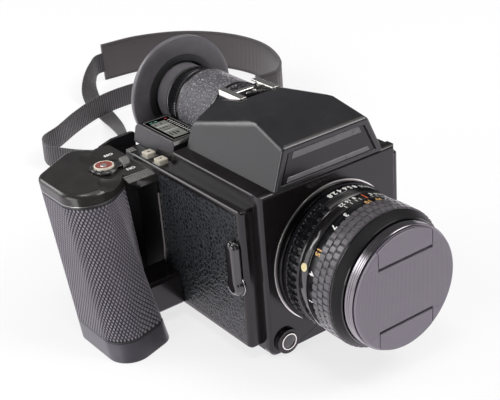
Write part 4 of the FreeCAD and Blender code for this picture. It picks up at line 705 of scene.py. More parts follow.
ringMarks = {
    # radius of each ring, how far ahead its numbers stand, and how tall they are
    "apertureRadius": 35.3, "apertureAhead": 43.4, "apertureLetters": 2.9,
    "indexRadius": 34.6, "depthAhead": 52.7, "depthLetters": 2.2,
    "focusRadius": 34.2, "distanceAhead": 59.4, "distanceLetters": 2.9,
    # numbers and bars, by degrees from the top
    "aperture": [("2.8", 9), ("4", 1.5), ("5.6", -6), ("8", -13.5), ("11", -21), ("16", -28.5), ("22", -36)],
    "depth": [("22", 13), ("16", 7), ("8", 0.6), ("8", -16.6), ("16", -23), ("22", -29.5)],
    "depthBars": [13, 7, 2, -2, -14, -19, -24, -31],
    "index": -8,
    "distance": [("3", 19), ("7", 33), ("4", 73), ("1", 97), ("5", -25)],
    "distanceFeet": [("10", -4), ("15", 55.7), ("30", -16)],
}


def apertureTeeth(radius, angle, ahead):
    # Teeth: the radius falls by 1.5 mm where |sin(27 a)| is over a half, between the rows at 43 and 50 ahead,
    # but for the field of the numbers, where the rows from 46 on form a smooth cone.
    turn = np.degrees(np.angle(np.exp(1j * angle)))
    plain = 1 / (1 + np.exp(-(turn + 50) * 3)) * (1 - 1 / (1 + np.exp(-(turn - 22) * 3)))
    rows = np.clip((ahead - 43.0) / 0.4, 0, 1) * np.clip((50.3 - ahead) / 0.5, 0, 1)
    tooth = 1.5 * np.clip((np.abs(np.sin(27 * angle)) - 0.5) / 0.25, 0, 1)
    cone = 0.9 * np.clip((ahead - 45.9) / 4.4, 0, 1)
    return -np.where(radius > 33, rows * (1 - plain) * tooth + plain * cone, 0)


def rubberBlocks(radius, angle, ahead):
    # Sixty blocks a turn in three rows, the middle row half a pitch on: full height inside a block's window,
    # 0.7 mm lower in the channels, with flanks 0.25 mm wide.
    rows = np.zeros_like(angle)
    for near, far, shift in ((61.8, 65.3, 0.0), (65.6, 69.1, 0.5), (69.4, 72.9, 0.0)):
        inRow = np.clip((ahead - near) / 0.25, 0, 1) * np.clip((far - ahead) / 0.25, 0, 1)
        phase = np.abs((angle * 60 / wholeTurn + shift) % 1 - 0.5) * 2
        rows = np.maximum(rows, inRow * np.clip((0.86 - phase) / 0.14, 0, 1))
    return np.where(radius > 34.5, -0.7 * (1 - rows), 0)


# profiles of (radius, ahead)
apertureRows = [
    (34.6, 40.8), (35.2, 40.8), (35.3, 40.95), (35.3, 42.9), (35.3, 43.15), (35.3, 43.45), (35.3, 45.5),
    (35.15, 45.7), (35.35, 45.9), (35.4, 46.2), (35.4, 47.4), (35.4, 48.6), (35.4, 49.8), (35.0, 50.3),
    (34.7, 50.45), (34.55, 51.05), (34.4, 51.2), (30.65, 51.2), (30.65, 40.8)]
rubberRows = [(34.2, 61.6), (35.0, 61.6)] + [(35.2, a) for a in (
    61.8, 61.93, 62.05, 63.5, 65.05, 65.18, 65.3, 65.45, 65.6, 65.73, 65.85, 67.3, 68.85, 68.98, 69.1, 69.25,
    69.4, 69.53, 69.65, 71.2, 72.65, 72.78, 72.9)] + [(35.0, 73.0), (34.2, 73.0)]
threads = [(29.0 + 0.28 * (i % 2), 84.3 - 0.375 * i) for i in range(11)]
baffles = [(29.0 - 0.45 * i - 0.25 * j, 79.6 - 0.42 * i) for i in range(10) for j in (0, 1)]
barrelRows = [
    (27.6, 46), (27.6, 73.3), (34.25, 73.3), (34.4, 73.45), (34.4, 73.75), (34.2, 73.9), (34.15, 74.3),
    (32.0, 78.35), (32.05, 78.5), (31.95, 78.85), (31.7, 79.0), (30.4, 79.0), (30.4, 79.8), (31.05, 79.8),
    (31.2, 79.95), (31.2, 81.2), (31.0, 81.3), (31.0, 81.5), (31.2, 81.6), (31.2, 82.5), (31.0, 82.6),
    (31.0, 82.8), (31.2, 82.9), (31.2, 83.7), (31.05, 83.8), (31.05, 84.0), (31.15, 84.1), (31.15, 84.4),
    (30.95, 84.6), (29.4, 84.6), *threads, (29.0, 79.6), *baffles,
    (24.5, 75.2), (24.5, 69), (21.5, 69), (21.5, 50.6), (19.5, 50.6), (19.5, 46)]
coneRows = [(33.9, 74.0), (34.2, 74.0), (34.22, 74.3), (32.07, 78.35), (31.9, 78.4), (31.8, 78.2)]
filterRows = [
    (31.0, 79.8), (31.1, 79.78), (31.26, 79.95), (31.26, 81.2), (31.05, 81.3), (31.05, 81.5), (31.26, 81.6),
    (31.26, 82.5), (31.05, 82.6), (31.05, 82.8), (31.26, 82.9), (31.26, 83.7), (31.1, 83.8), (31.1, 84.0),
    (31.2, 84.1), (31.2, 84.45), (31.0, 84.66), (29.6, 84.66), (29.6, 84.5), (30.9, 84.5)]


def lensPart(name, profile, finish, body, steps=192, slot="lens_black", **more):
    turnedPiece(name, profile, finish, body, slot, steps, **more)


def domedGlass(name, node, radius, near, far, bulge=1.5):
    # A round glass whose front follows bulge * (1 - (r / radius)^2).
    front = [(radius * t, far + bulge * (1 - t * t)) for t in np.linspace(1, 0, 10)]
    lensPart(name, [(0, near), (radius, near), *front], "coatedGlass", "front_barrel", 96, "optical_glass",
             node=node)


lensPart("mountRing", [(28.2, 36), (36.2, 36), (36.2, 40.5), (28.2, 40.5)], "blackChrome", "camera_body", 128,
         soft=0.25, node="lens_mount")
lensPart("mountLine", [(35.8, 36.0), (36.8, 36.0), (36.8, 36.4), (35.8, 36.4)], "satinChrome", "camera_body",
         128, None, soft=0.15)
lensPart("apertureRing", apertureRows, "anodisedLens", "aperture_ring", 864, relief=apertureTeeth,
         node="aperture_ring")
lensPart("indexRing", [(30.5, 51.5), (34.6, 51.5), (34.6, 57), (30.5, 57)], "glossLens", "camera_body",
         soft=0.3, node="index_ring")
lensPart("focusRing", [(30.6, 57.3), (34.2, 57.3), (34.2, 73), (30.6, 73)], "anodisedLens", "focus_ring",
         soft=0.25, node="focus_ring")
lensPart("focusRubber", rubberRows, "ringRubber", "focus_ring", 720, "grip_rubber", relief=rubberBlocks,
         node="focus_rubber")
lensPart("frontBarrel", barrelRows, "anodisedLens", "front_barrel", smoothAngle=25, node="front_barrel")
lensPart("frontCone", coneRows, "mattBlack", "front_barrel")
lensPart("filterRing", filterRows, "blackAnodised", "front_barrel", smoothAngle=25)
domedGlass("frontGlass", "front_glass", 24.4, 69, 75)
domedGlass("rearGlass", "rear_glass", 19.4, 46, 50.6)
lensPart("frontRetainer", [(24.4, 75.0), (24.45, 76.0), (23.2, 76.2), (22.9, 75.4)], "anodisedLens",
         "front_barrel", 96, None, soft=0.1)

roundedCopy("lens_cap", 0.35, "capPlastic", "lens_cap")
roundedCopy("upper_cap_tab", 0.3, "capPlastic", "upper_cap_tab", "upperTab")
roundedCopy("lower_cap_tab", 0.3, "capPlastic", "lower_cap_tab", "lowerTab")

onAperture, onIndex, onFocus = (ringMarks[ring + "Radius"] for ring in ("aperture", "index", "focus"))
marksRound("apertureNumbers", ringMarks["aperture"], ringMarks["apertureAhead"], ringMarks["apertureLetters"],
           onAperture, "whiteInk", "aperture_ring")
# a frame with a short bar in it, beside the numbers
boxBars = [(-47.6, 0.35, 42.4, 44.6), (-43.4, 0.35, 42.4, 44.6), (-45.5, 2.9, 42.2, 42.5),
           (-45.5, 2.9, 44.5, 44.8), (-45.5, 0.5, 43.0, 44.0)]
barsRound("apertureBox", boxBars, onAperture, "whiteInk", "aperture_ring")
marksRound("depthNumbers", ringMarks["depth"], ringMarks["depthAhead"], ringMarks["depthLetters"], onIndex,
           "whiteInk")
barsRound("depthBars", [(degrees, 0.3, 54.2, 56.4) for degrees in ringMarks["depthBars"]], onIndex, "whiteInk")
barsRound("indexLine", [(ringMarks["index"], 0.7, 51.9, 56.6)], onIndex, "orangeInk")
for name, marks, ink in (
        ("distanceMetres", "distance", "whiteInk"), ("distanceFeet", "distanceFeet", "amberInk")):
    marksRound(name, ringMarks[marks], ringMarks["distanceAhead"], ringMarks["distanceLetters"], onFocus, ink,
               "focus_ring")

# the dot to line the lens up by: a low disc bent to the index ring
dot = {"degrees": 71.1, "ahead": 54.0, "size": 2.0, "radius": onIndex, "lift": 0.05}
dotRings = []
for share, up in ((1.0, -dot["lift"]), (1.0, dot["lift"]), (0.8, dot["lift"] * 2)):
    away = circle(24) * share * dot["size"]
    dotRings.append(ringPoint(dot["radius"] + up, math.radians(dot["degrees"]) + away[:, 0] / dot["radius"],
                              dot["ahead"] + away[:, 1]))
placePiece("alignmentDot", *stackRings(dotRings), "ivoryPaint")
print("lens made")


# Grip

# corners of the grip's outline at the floor and at the top, with the rounding of each; the corner ahead of the
# palm is rounder than in the solid
gripFoot = np.array([(-101.5, 50, 8), (-101, 2.5, 12), (-67.5, 13, 8), (-66.5, 30, 6), (-67, 57, 8)])
gripHead = np.array([(-98, 79.5, 9), (-97.8, 38.2, 15), (-76, 42.3, 12), (-63, 49.8, 8), (-61.5, 102, 8.5)])
gripTop = 79.0
capFoot = 73.35
grip = {"pitch": 2.0, "row": 1.3, "plateau": 0.5, "depth": 0.64, "seam": 1.5, "capRound": 2.4, "wellRim": 0.35,
        "bore": 5.35, "boreFoot": 73.5}
# the shutter button's axis, across and back
button = (-66.3, 64.3)
# the well round the button: middle and radii of an ellipsoid, and of a second that opens it to the front
well = [((-66.3, 64.5, 81.5), (10.9, 22.6, 5.4)), ((-71.0, 40.0, 81.5), (12.0, 15.0, 5.8))]


def roundedArcs(corners, steps):
    # The arc at each corner, and its centre.
    points, rounds = corners[:, :2], corners[:, 2]
    back, forth = unit(np.roll(points, 1, 0) - points), unit(np.roll(points, -1, 0) - points)
    half = np.arccos(np.sum(back * forth, 1)) / 2
    centre = points + unit(back + forth) * (rounds / np.sin(half))[:, None]
    start = points + back * (rounds / np.tan(half))[:, None] - centre
    swing = (math.pi - 2 * half)[:, None] * np.linspace(0, 1, steps)[None, :]
    base = np.arctan2(start[:, 1], start[:, 0])[:, None] + swing
    return centre[:, None, :] + rounds[:, None, None] * np.stack([np.cos(base), np.sin(base)], -1), centre


def roundedOutline(corners, arcSteps=14, edgeSteps=30):
    # The outline with true arcs at its corners and the straights between them in equal steps.
    arcs, _ = roundedArcs(corners, arcSteps)
    share = np.linspace(0, 1, edgeSteps + 2)[None, 1:-1, None]
    edges = arcs[:, -1:, :] * (1 - share) + np.roll(arcs, -1, 0)[:, :1, :] * share
    return np.concatenate([arcs, edges], 1).reshape(-1, 2)


def cornerKnife(low, high, inset, palm=1):
    # What lies outside the rounder palm corner between two heights, for a form drawn in by an inset.
    rings = []
    for up in (low, high):
        share = up / gripTop
        corners = gripFoot * (1 - share) + gripHead * share
        arcs, centres = roundedArcs(corners, 16)
        arc, centre, sharp, radius = arcs[palm], centres[palm], corners[palm, :2], corners[palm, 2]
        inner = centre + (arc - centre) * (radius - inset) / radius
        ends = [inner[0] + (arc[0] - sharp) * 0.02, inner[-1] + (arc[-1] - sharp) * 0.02]
        far = [end + (sharp - centre) * 0.9 for end in reversed(ends)]
        flat = np.vstack([ends[0], inner, ends[1], far])
        rings.append(np.column_stack([flat, np.full(len(flat), up)]))
    return stackRings(rings)


footLine, headLine = roundedOutline(gripFoot), roundedOutline(gripHead)
meanLine = (footLine + headLine) / 2
gripRun = np.concatenate([[0], np.cumsum(np.linalg.norm(np.roll(meanLine, -1, 0) - meanLine, axis=1))])
gripAround = gripRun[-1]


def onGrip(along, up, out):
    # A place on the grip's skin: along the mean outline in millimetres, up, and out from the skin.
    along, up, out = np.broadcast_arrays(*(np.asarray(v, float) for v in (along, up, out)))
    run = along % gripAround
    closedFoot, closedHead = np.vstack([footLine, footLine[:1]]), np.vstack([headLine, headLine[:1]])
    share = up / gripTop

    def flat(where):
        low = np.stack([np.interp(where, gripRun, closedFoot[:, k]) for k in (0, 1)], -1)
        high = np.stack([np.interp(where, gripRun, closedHead[:, k]) for k in (0, 1)], -1)
        return low * (1 - share[..., None]) + high * share[..., None]

    here = flat(run)
    ahead = unit(flat((run + 0.6) % gripAround) - flat((run - 0.6) % gripAround))
    here = here + np.stack([ahead[..., 1], -ahead[..., 0]], -1) * out[..., None]
    return np.concatenate([here, up[..., None]], -1)


def gripBand(rows, columns=200):
    # A closed band round the grip from (up, out) corners.
    along = np.linspace(0, gripAround, columns, endpoint=False)[None, :]
    rows = np.asarray(rows, float)
    points = onGrip(along + 0 * rows[:, :1], rows[:, :1] + 0 * along, rows[:, 1:] + 0 * along)
    return points.reshape(-1, 3), gridFaces(len(rows), columns, wrapRows=True, wrapColumns=True)


def studLattice(low, high):
    # Flat-topped diamond studs: row k stands at low + k row, every other row half a pitch on. Each has four
    # foot corners shared with its neighbours and a raised plateau a share of its size.
    across = int((gripAround - 2 * grip["seam"]) / grip["pitch"])
    rows = int((high - low) / grip["row"]) - 1
    pitch, row = (gripAround - 2 * grip["seam"]) / across, (high - low) / (rows + 1)
    k, i = np.meshgrid(np.arange(1, rows + 1), np.arange(across), indexing="ij")
    along = grip["seam"] + (i + 0.5 * (k % 2)) * pitch + pitch / 4
    middle = np.stack([along, low + k * row], -1).reshape(-1, 2)
    reach = np.array([(pitch / 2, 0), (0, row), (-pitch / 2, 0), (0, -row)])
    foot = middle[:, None, :] + reach[None]
    flat = middle[:, None, :] + reach[None] * grip["plateau"]
    points = np.concatenate([onGrip(foot[..., 0], foot[..., 1], -grip["depth"]),
                             onGrip(flat[..., 0], flat[..., 1], -0.03)], 1)
    start = np.arange(len(middle))[:, None, None] * 8
    sides = np.array([(a, (a + 1) % 4, 4 + (a + 1) % 4, 4 + a) for a in range(4)] + [(4, 5, 6, 7)])[None]
    # foot corners get 0 and the plateau 1: the share up the stud that paints shade in the pits and light and
    # wear on the tops
    worn = np.tile(np.repeat([0.0, 1.0], 4), len(middle))
    return points.reshape(-1, 3), (start + sides).reshape(-1, 4), worn


skin = joinParts([
    gripBand([(9.0, -1.2), (9.0, -0.66), (73.0, -0.66), (73.0, -1.2)]),
    gripBand([(9.02, -0.9), (9.02, -0.2), (9.2, -0.04), (9.9, -0.04), (10.1, -0.3), (10.1, -0.9)]),
    gripBand([(71.9, -0.9), (71.9, -0.3), (72.1, -0.04), (72.8, -0.04), (72.98, -0.2), (72.98, -0.9)]),
])
placePiece("gripSkinBase", *skin, "gripRubber", slot="grip_rubber", solid=False, node="grip_rubber")
studPoints, studFaces, studWearAndShade = studLattice(9.6, 72.4)
placePiece("gripStuds", studPoints, studFaces, "studdedRubber", slot="grip_rubber", smoothAngle=10, solid=False,
           worn=studWearAndShade)
roundedCopy("battery_cover", 0.4, "erodedAbs", body="battery_cover")
bevelByPlace("grip_core", [
    (lambda m, d: m.z < 1, 0.7),
    (lambda m, d: True, 0.2)], "floorLitGreyAbs", before=[cornerKnife(-1, 9.0, 0.0), cornerKnife(9.0, 81, 1.3)])


def onWell(m, d):
    # Whether a place lies on the surface of a bowl of the well.
    away = [math.sqrt(sum(((m[k] - centre[k]) / radii[k]) ** 2 for k in range(3))) for centre, radii in well]
    return any(abs(share - 1) < 0.03 for share in away)


def capForm(levels, columns=240):
    # A solid over the grip's outline, from heights with how far out the skin lies at the cap's free edge and
    # where it runs into the bridge.
    along = np.linspace(0, gripAround, columns, endpoint=False)
    edge = onGrip(along, gripTop, 0.0)
    free = np.maximum(np.clip((-63.5 - edge[:, 0]) / 3, 0, 1), np.clip((edge[:, 1] - 87) / 4, 0, 1))
    rings = []
    for up, atFree, atBridge in levels:
        ring = onGrip(along, min(up, gripTop), atFree * free + atBridge * (1 - free))
        ring[:, 2] = up
        rings.append(ring)
    return stackRings(rings)


bowls = [ellipsoid(middle, radii) for middle, radii in well]
bore = layeredPlate(circle(48) * grip["bore"] + button, [(0, grip["boreFoot"]), (0, 82)])
capArc = circle(8, 0, math.pi / 2, endpoint=True) - 1
domeLevels = [(capFoot, 0, 0)]
domeLevels += [(gripTop + grip["capRound"] * up, grip["capRound"] * out, 0) for out, up in capArc]
gripDome = placePiece("gripDome", *capForm(domeLevels), "palmPolishedAbs", slot="moulded_black")
carve(gripDome, bowls + [bore])
bevelByWeight(gripDome, weighEdges(gripDome, [(onWell, grip["wellRim"])]), 3, True, "MITER_SHARP")
finishPiece(gripDome, "palmPolishedAbs", smoothAngle=40.0)
weighNormals(gripDome)
bevelByPlace("grip_cap", [
    (lambda m, d: m.z > 76.5, 0.35),
    (lambda m, d: True, 0.4)], "palmPolishedAbs", segments=6, clamp=True,
    after=[capForm([(72, 14, -0.02), (78.9, 14, -0.02), (81, 14, -0.02)])] + bowls)
waist = gripBand([(72.95, -0.6), (72.95, -0.1), (73.0, 0.03), (73.3, 0.03), (capFoot, -0.6)])
placePiece("capWaist", *waist, "satinSteel", solid=False)

# the shutter button and the switch round it: profiles of (radius, up)
ringRows = [(5.5, 76.0), (7.0, 76.0), (7.0, 78.7), (6.4, 79.0), (5.5, 79.0)]
bodyRows = [(0, 75.6), (5.1, 75.6), (5.2, 75.8), (5.2, 79.6), (5.1, 79.85), (4.85, 79.97), (4.6, 79.95),
            (4.4, 79.75), (1.7, 79.5), (1.6, 79.3), (1.6, 76.9), (0, 76.9)]
discRows = [(1.75, 79.5), (4.4, 79.7), (4.42, 79.86), (3.2, 79.68), (1.75, 79.6)]
socketRows = [(0, 78.9), (0.5, 78.9), (0.6, 79.85), (1.1, 80.0), (1.65, 79.9), (1.85, 79.55), (1.6, 79.3),
              (1.6, 78.2), (0, 78.2)]


def buttonPart(name, profile, finish, body, slot=None, steps=64, **more):
    turnedPiece(name, profile, finish, body, slot, steps, upright=button, **more)


buttonPart("buttonRing", ringRows, "glossLens", "main_switch", "moulded_black", soft=0.25)
buttonPart("buttonCollar", [(6.9, 77.5), (7.3, 77.5), (7.3, 78.6), (6.9, 78.6)], "chromePlate", "main_switch",
           "steel", soft=0.2)
buttonPart("buttonLip", [(5.45, 78.9), (5.85, 78.9), (5.85, 79.25), (5.45, 79.25)], "chromePlate",
           "main_switch", "steel", soft=0.15)
buttonPart("buttonBody", bodyRows, "creamEnamel", "shutter_button", "button_brown", node="shutter_button")
buttonPart("buttonDisc", discRows, "redLacquer", "shutter_button")
buttonPart("buttonSocket", socketRows, "satinChrome", "shutter_button", steps=40)


def atButton(points):
    return points + [*button, 0]


# the switch: an arm under the well's rim, and the paddle that stands up from it
paddle = [(9.9, 2.1), (14.9, 2.3), (13.9, -2.0), (12.1, -5.9), (7.2, -7.6), (8.9, -3.2)]
arm = [(6.6, 2.2), (9.8, 1.9), (9.0, -4.6), (5.2, -4.6)]
armPlate = layeredPlate(softCorners(arm, 0.8), [(0.0, 78.05), (0.0, 78.4), (0.2, 78.6)], atButton)
placePiece("switchArm", *armPlate, "glossLens", "main_switch", "moulded_black")
paddleLevels = [(0.0, 78.25), (0.0, 79.4), (0.2, 79.65), (0.55, 79.75)]
paddlePlate = layeredPlate(softCorners(paddle, 0.6), paddleLevels, atButton)
placePiece("mainSwitch", *paddlePlate, "greyPaddle", "main_switch", "steel", node="main_switch")
ribs, ribLevels = [], [(0.0, 79.5), (0.0, 79.85), (0.12, 79.98)]
for step in range(8):
    y = -6.9 + step * 1.1
    low = np.interp(y, (-8, -3.6, 2.2), (7.4, 8.4, 10.0)) + 0.5
    high = np.interp(y, (-7, -3, 0.4), (11.4, 14.0, 14.8)) - 0.6
    ribs.append(layeredPlate(rectangle(low, y - 0.2, high, y + 0.2), ribLevels, atButton))
placePiece("paddleRibs", *joinParts(ribs), "greyPaddle", "main_switch", smoothAngle=20)

# the words by the switch read from behind the camera
switchWords = []
for words, place in (("OFF", (-56.6, 76.9, 78.03)), ("ON", (-56.4, 54.2, 78.03))):
    points, faces = lettering(words, 2.2, 0.04)
    switchWords.append((points * [-1, -1, 1] + place, faces))
placePiece("switchWords", *joinParts(switchWords), "whiteInk")

# ribs across the bridge's slope, light grey as painted highlight for the light along their top edges
slopeRibs = []
for step in range(5):
    back = 41.5 + step * 0.95
    rise = 77.0 + (back - 41) / 5.2
    slopeRibs.append(levelBox(-65.4, back, -50.2, back + 0.55, rise - 0.2, rise + 0.32, 0.12))
placePiece("bridgeRibs", *joinParts(slopeRibs), "greyPaddle", smoothAngle=20)
# slabs in the finger gap and on the bridge: the low and the high corner across and back, then foot and top
slabs = {
    "gapTrim": ((-49.9, 41.6, -49.4, 42.2, 25.3, 66.0), "satinChrome"),
    "webFoot": ((-66.0, 62.0, -49.4, 66.0, 7.0, 26.0), "erodedAbs"),
    # a dull dark sheet laid on the cover's side in the finger gap: painted shade where the grip's web shades it
    "gapShadeSheet": ((-49.75, 42.5, -49.4, 61.9, 7.0, 76.0), "castAlloy"),
    "bridgeBar": ((-65.2, 46.7, -50.4, 47.5, 77.9, 78.12), "greyPaddle"),
}
for name, (box, finish) in slabs.items():
    placePiece(name, *levelBox(*box), finish)
roundedCopy("grip_bridge", 0.6, "erodedAbs")
roundedCopy("grip_bracket", 0.6, "satinEnamel")
print("grip made")


# Finder, shoe and eyepiece

bevelByPlace("finder_housing", [
    (lambda m, d: abs(m.x) > 15 and m.z > 104 and abs(d.y) > 0.5, 2.4),
    (lambda m, d: m.z > 106 and m.y < 0 and abs(m.x) < 15, 2.0),
    (lambda m, d: m.z > 95 and abs(m.x) > 13 and abs(d.x) < 0.9, 1.2),
    (lambda m, d: m.z < 89, 0.0),
    (lambda m, d: abs(m.x) < 29 and m.z < 105 and m.y < -30, 0.25),
    (lambda m, d: True, 0.5)], "erodedAbs", segments=5)

# the finder's front slopes back by 1.5 mm over its height of 19.2 from z 87.8
plate = {"middle": 96.8, "foot": 87.8, "front": -36, "back": 1.5, "rise": 19.2, "depth": 0.6}
lean = math.atan2(plate["back"], plate["rise"])


def onPlate(points):
    # Places on the sunk plate of the finder's front: across, up along the slope from its middle, and out of it.
    x, up, out = points[..., 0], points[..., 1], points[..., 2]
    middle = plate["front"] + plate["back"] * (plate["middle"] - plate["foot"]) / plate["rise"] + plate["depth"]
    y = middle + up * math.sin(lean) - out * math.cos(lean)
    return np.stack([x, y, plate["middle"] + up * math.cos(lean) + out * math.sin(lean)], -1)


plateBars = []
for low, high in ((-6.8, -4.6), (3.6, 6.8)):
    outline = [(side * (25.6 - 0.416 * (up + 7)), up) for side, up in rectangle(-1, low, 1, high)]
    plateBars.append(layeredPlate(outline, [(0.0, -0.1), (0.0, 0.1), (0.15, 0.22)], onPlate))
placePiece("plateBands", *joinParts(plateBars), "greyPaint", smoothAngle=20)

roundedCopy("shoe_rails", 0.22, "chromePlate")
roundedCopy("shoe_bed", 0.2, "blackChrome")


# height of the shoe's bed, and how much the rim of a stud on it is drawn in
shoe = {"bed": 110.1, "rim": 0.12}


def stud(x, y, high, radius):
    # A low round stud with a softened rim on the shoe's bed.
    low, rim = shoe["bed"], shoe["rim"]
    profile = np.array([(0, low), (radius, low), (radius, high - rim), (radius - rim, high), (0, high)])
    points = [np.column_stack([circle(24) * r + (x, y), np.full(24, up)]) for r, up in profile]
    return np.vstack(points), gridFaces(len(profile), 24, wrapRows=True, wrapColumns=True)


contacts = [(0, 25.5, 110.55, 1.5), (-4.2, 21.5, 110.5, 0.8), (4.2, 21.5, 110.5, 0.8), (4.2, 26.5, 110.5, 0.8)]
placePiece("shoeContacts", *joinParts([stud(*place) for place in contacts]), "chromePlate")
screws = [(x, y, 110.45, 1.15) for x in (-7.2, 7.2) for y in (19.3, 31.6)]
placePiece("shoeScrews", *joinParts([stud(*place) for place in screws]), "satinSteel")
placePiece("shoeSpring", *levelBox(-6.6, 29.8, 6.6, 33.2, 110.15, 110.5, 0.15), "chromePlate")


def eyePart(name, profile, finish, slot=None, steps=96, body="camera_body", **more):
    turnedPiece(name, profile, finish, body, slot, steps, height=eyeHeight, **more)


def knurl(count, depth, limit):
    # Straight knurling: the radius falls with a triangle wave of count teeth, only outside a limit.
    def relief(radius, angle, ahead):
        wave = np.abs((angle * count / wholeTurn) % 1 - 0.5) * 2
        return np.where(radius > limit, -depth * wave, 0)
    return relief


tubeRows = [(12.5, -36.2), (18.6, -36.2), (18.6, -37.6), (18.98, -37.8), (18.98, -65.2), (18.7, -65.6),
            (18.5, -66.1), (18.5, -68.0), (15.0, -68.0), (15.0, -84), (12.5, -84)]
tubeBackRows = [(18.0, -64.4), (19.0, -64.4), (19.0, -66.0), (18.55, -66.4), (18.52, -68.02), (18.0, -68.05)]
dioptreRows = [(15.15, -68.3), (17.2, -68.3), (17.8, -68.8), (17.8, -70.5), (17.8, -73.6), (17.8, -75.5),
               (17.2, -76.0), (15.15, -76.0)]
# the glass bulges by 0.75 mm towards the eye
glassRows = [(0, -77), (12.45, -77), (12.45, -79.2)] + [
    (12.45 * (1 - t), -79.2 - 0.75 * (1 - (1 - t) ** 2)) for t in np.linspace(0, 1, 8)[1:]]
cupRows = [(15.05, -78), (16.7, -78), (16.7, -93.3), (17.6, -93.1), (18.6, -91.2), (18.6, -88.6), (21.5, -88.1),
           (29.6, -87.6), (31.2, -87.9), (31.6, -88.5), (31.6, -90.6), (31.0, -91.1), (30.3, -90.75),
           (29.4, -90.55), (20.9, -90.8), (20.6, -93.4), (18.9, -95.1), (16.7, -95.6), (15.05, -95.5)]
eyePart("tubeCover", tubeRows, "tubeLeatherette", "leatherette", 128, soft=0.25, node="eyepiece_tube")
eyePart("tubeFrontRing", [(18.2, -36.4), (19.0, -36.4), (19.0, -38.4), (18.2, -38.4)], "satinEnamel", None, 128,
        soft=0.2)
eyePart("tubeBackRing", tubeBackRows, "satinEnamel", None, 128, soft=0.2)
eyePart("tubeBore", [(12.3, -70), (12.6, -70), (12.9, -84.1), (12.4, -84.1)], "anodisedLens", soft=0.1)
eyePart("dioptreRing", dioptreRows, "anodisedLens", "moulded_black", 480, "dioptre_ring",
        relief=knurl(80, 0.55, 17.5), node="dioptre_ring")
eyePart("eyeGlass", glassRows, "coatedGlass", "optical_glass", node="eyepiece_glass")
eyePart("eyeCup", softCorners(cupRows, 0.8), "cupRubber", "soft_rubber", 144, node="eyecup")
# a dull dark ring over the cup's neck: painted shade for the hollow inside the cup
eyePart("cupNeckShade", [(17.9, -87.3), (21.3, -87.5), (21.3, -88.4), (17.9, -88.4)], "castAlloy", soft=0.2)
eyePart("cupSeat", [(14.9, -77.5), (16.95, -77.5), (16.95, -78.9), (14.9, -78.9)], "satinSteel", soft=0.2)
print("finder made")


# Deck: display, housings and keys

display = {"low": (-36.0, 43.6), "high": (-20.4, 73.4), "top": 90.3, "rim": 0.45}
(left, near), (right, far) = display["low"], display["high"]
rim = display["rim"]
inkHalf = 0.05


def printed(name, finish, items, top, body="camera_body", slot=None):
    # Thin printed shapes on a level top, each a list of corners.
    parts = [layeredPlate(corners, [(0.0, top - inkHalf), (0.0, top + inkHalf)]) for corners in items]
    placePiece(name, *joinParts(parts), finish, body, slot)


onField = display["top"] + 0.06
printed("windowRim", "greyPaddle", [
    rectangle(left, near, right, near + rim), rectangle(left, far - rim, right, far),
    rectangle(left, near, left + rim, far), rectangle(right - rim, near, right, far)], display["top"])
printed("segmentField", "segmentPanel", [rectangle(left + 2.2, near + 2.4, right - 4.6, far - 4.4)],
        display["top"] + 0.02, slot="window")
printed("fieldLines", "whiteInk", [rectangle(left + 2.2, y, right - 4.6, y + 0.3) for y in (55.6, 63.0)]
        + [rectangle(right - 3.6, y, right - 1.6, y + 0.5) for y in np.arange(46.5, 68, 2.1)], onField)
# bars and digits, as distances from the left edge
bars = [(3.2, 49, 3.9, 53), (5.2, 49, 5.9, 53), (7.2, 49.6, 7.9, 52.4), (3.4, 57.4, 7.8, 57.9),
        (3.4, 60.4, 7.8, 60.9), (3.4, 65.4, 4.0, 67.2), (6.8, 65.4, 7.4, 67.2)]
printed("fieldMarks", "smokedAcrylic", [rectangle(left + a, b, left + c, d) for a, b, c, d in bars], onField)
printed("greenMarks", "greenInk", [rectangle(left + a, 70.1, left + a + 1.8, 70.9) for a in (2.6, 5.4)],
        onField)
printed("redMark", "redInk", [rectangle(right - 3.6, 69.9, right - 2.2, 71.1)], onField)
printed("housingLine", "greyPaddle", [
    rectangle(-37.7, 42.3, -37.45, 74.8), rectangle(-37.7, 42.05, -14.6, 42.3)], display["top"] + 0.01)

keys = {"x": -44.7, "reach": 3.3, "rim": 0.35, "top": 83.2}
out, inner = keys["reach"], keys["reach"] - keys["rim"]
rimSides = [(-out, -out, out, -inner), (-out, inner, out, out), (-out, -out, -inner, out),
            (inner, -out, out, out)]
keyRims = []
for node, name, place, tip in (("upper_key", "upperKey", 55.0, 1), ("lower_key", "lowerKey", 43.4, -1)):
    x = keys["x"]
    roundedCopy(node, 0.45, "beigeAbs", node)
    arrow = [(x - 0.9, place - 0.7 * tip), (x + 0.9, place - 0.7 * tip), (x, place + 0.8 * tip)]
    printed(name + "Arrow", "smokedAcrylic", [arrow], keys["top"], node)
    keyRims += [levelBox(x + a, place + b, x + c, place + d, 80.6, 80.95, 0.08) for a, b, c, d in rimSides]
placePiece("keyRims", *joinParts(keyRims), "greyPaddle")
# three fine ribs on the cover's rear edge, light grey as painted highlight for the light their ends catch
edgeRibs = [levelBox(-49.3, y, -45.2, y + 0.9, 80.5, 80.95, 0.15) for y in (66.2, 67.9, 69.4)]
placePiece("edgeRibs", *joinParts(edgeRibs), "greyPaddle")


# Levers and buttons on the body

lever = {"y": -24.0, "hub": 40.8, "tip": 65.0, "half": 4.3, "hubRadius": 5.3}


def leverOutline(steps=20):
    # A round hub and a straight shank with a round top, where the shank leaves the hub's circle.
    meet = math.acos(lever["half"] / lever["hubRadius"])
    hub = circle(steps, math.pi - meet, wholeTurn + meet, True) * lever["hubRadius"] + (0, lever["hub"])
    top = circle(steps, 0, math.pi, True) * lever["half"] + (0, lever["tip"] - lever["half"])
    return np.vstack([hub, top]) + (lever["y"], 0)


def onSide(points):
    # From (y, z, out) beside the grip-side cover to the frame.
    return np.stack([-49.5 - points[:, 2], points[:, 0], points[:, 1]], -1)


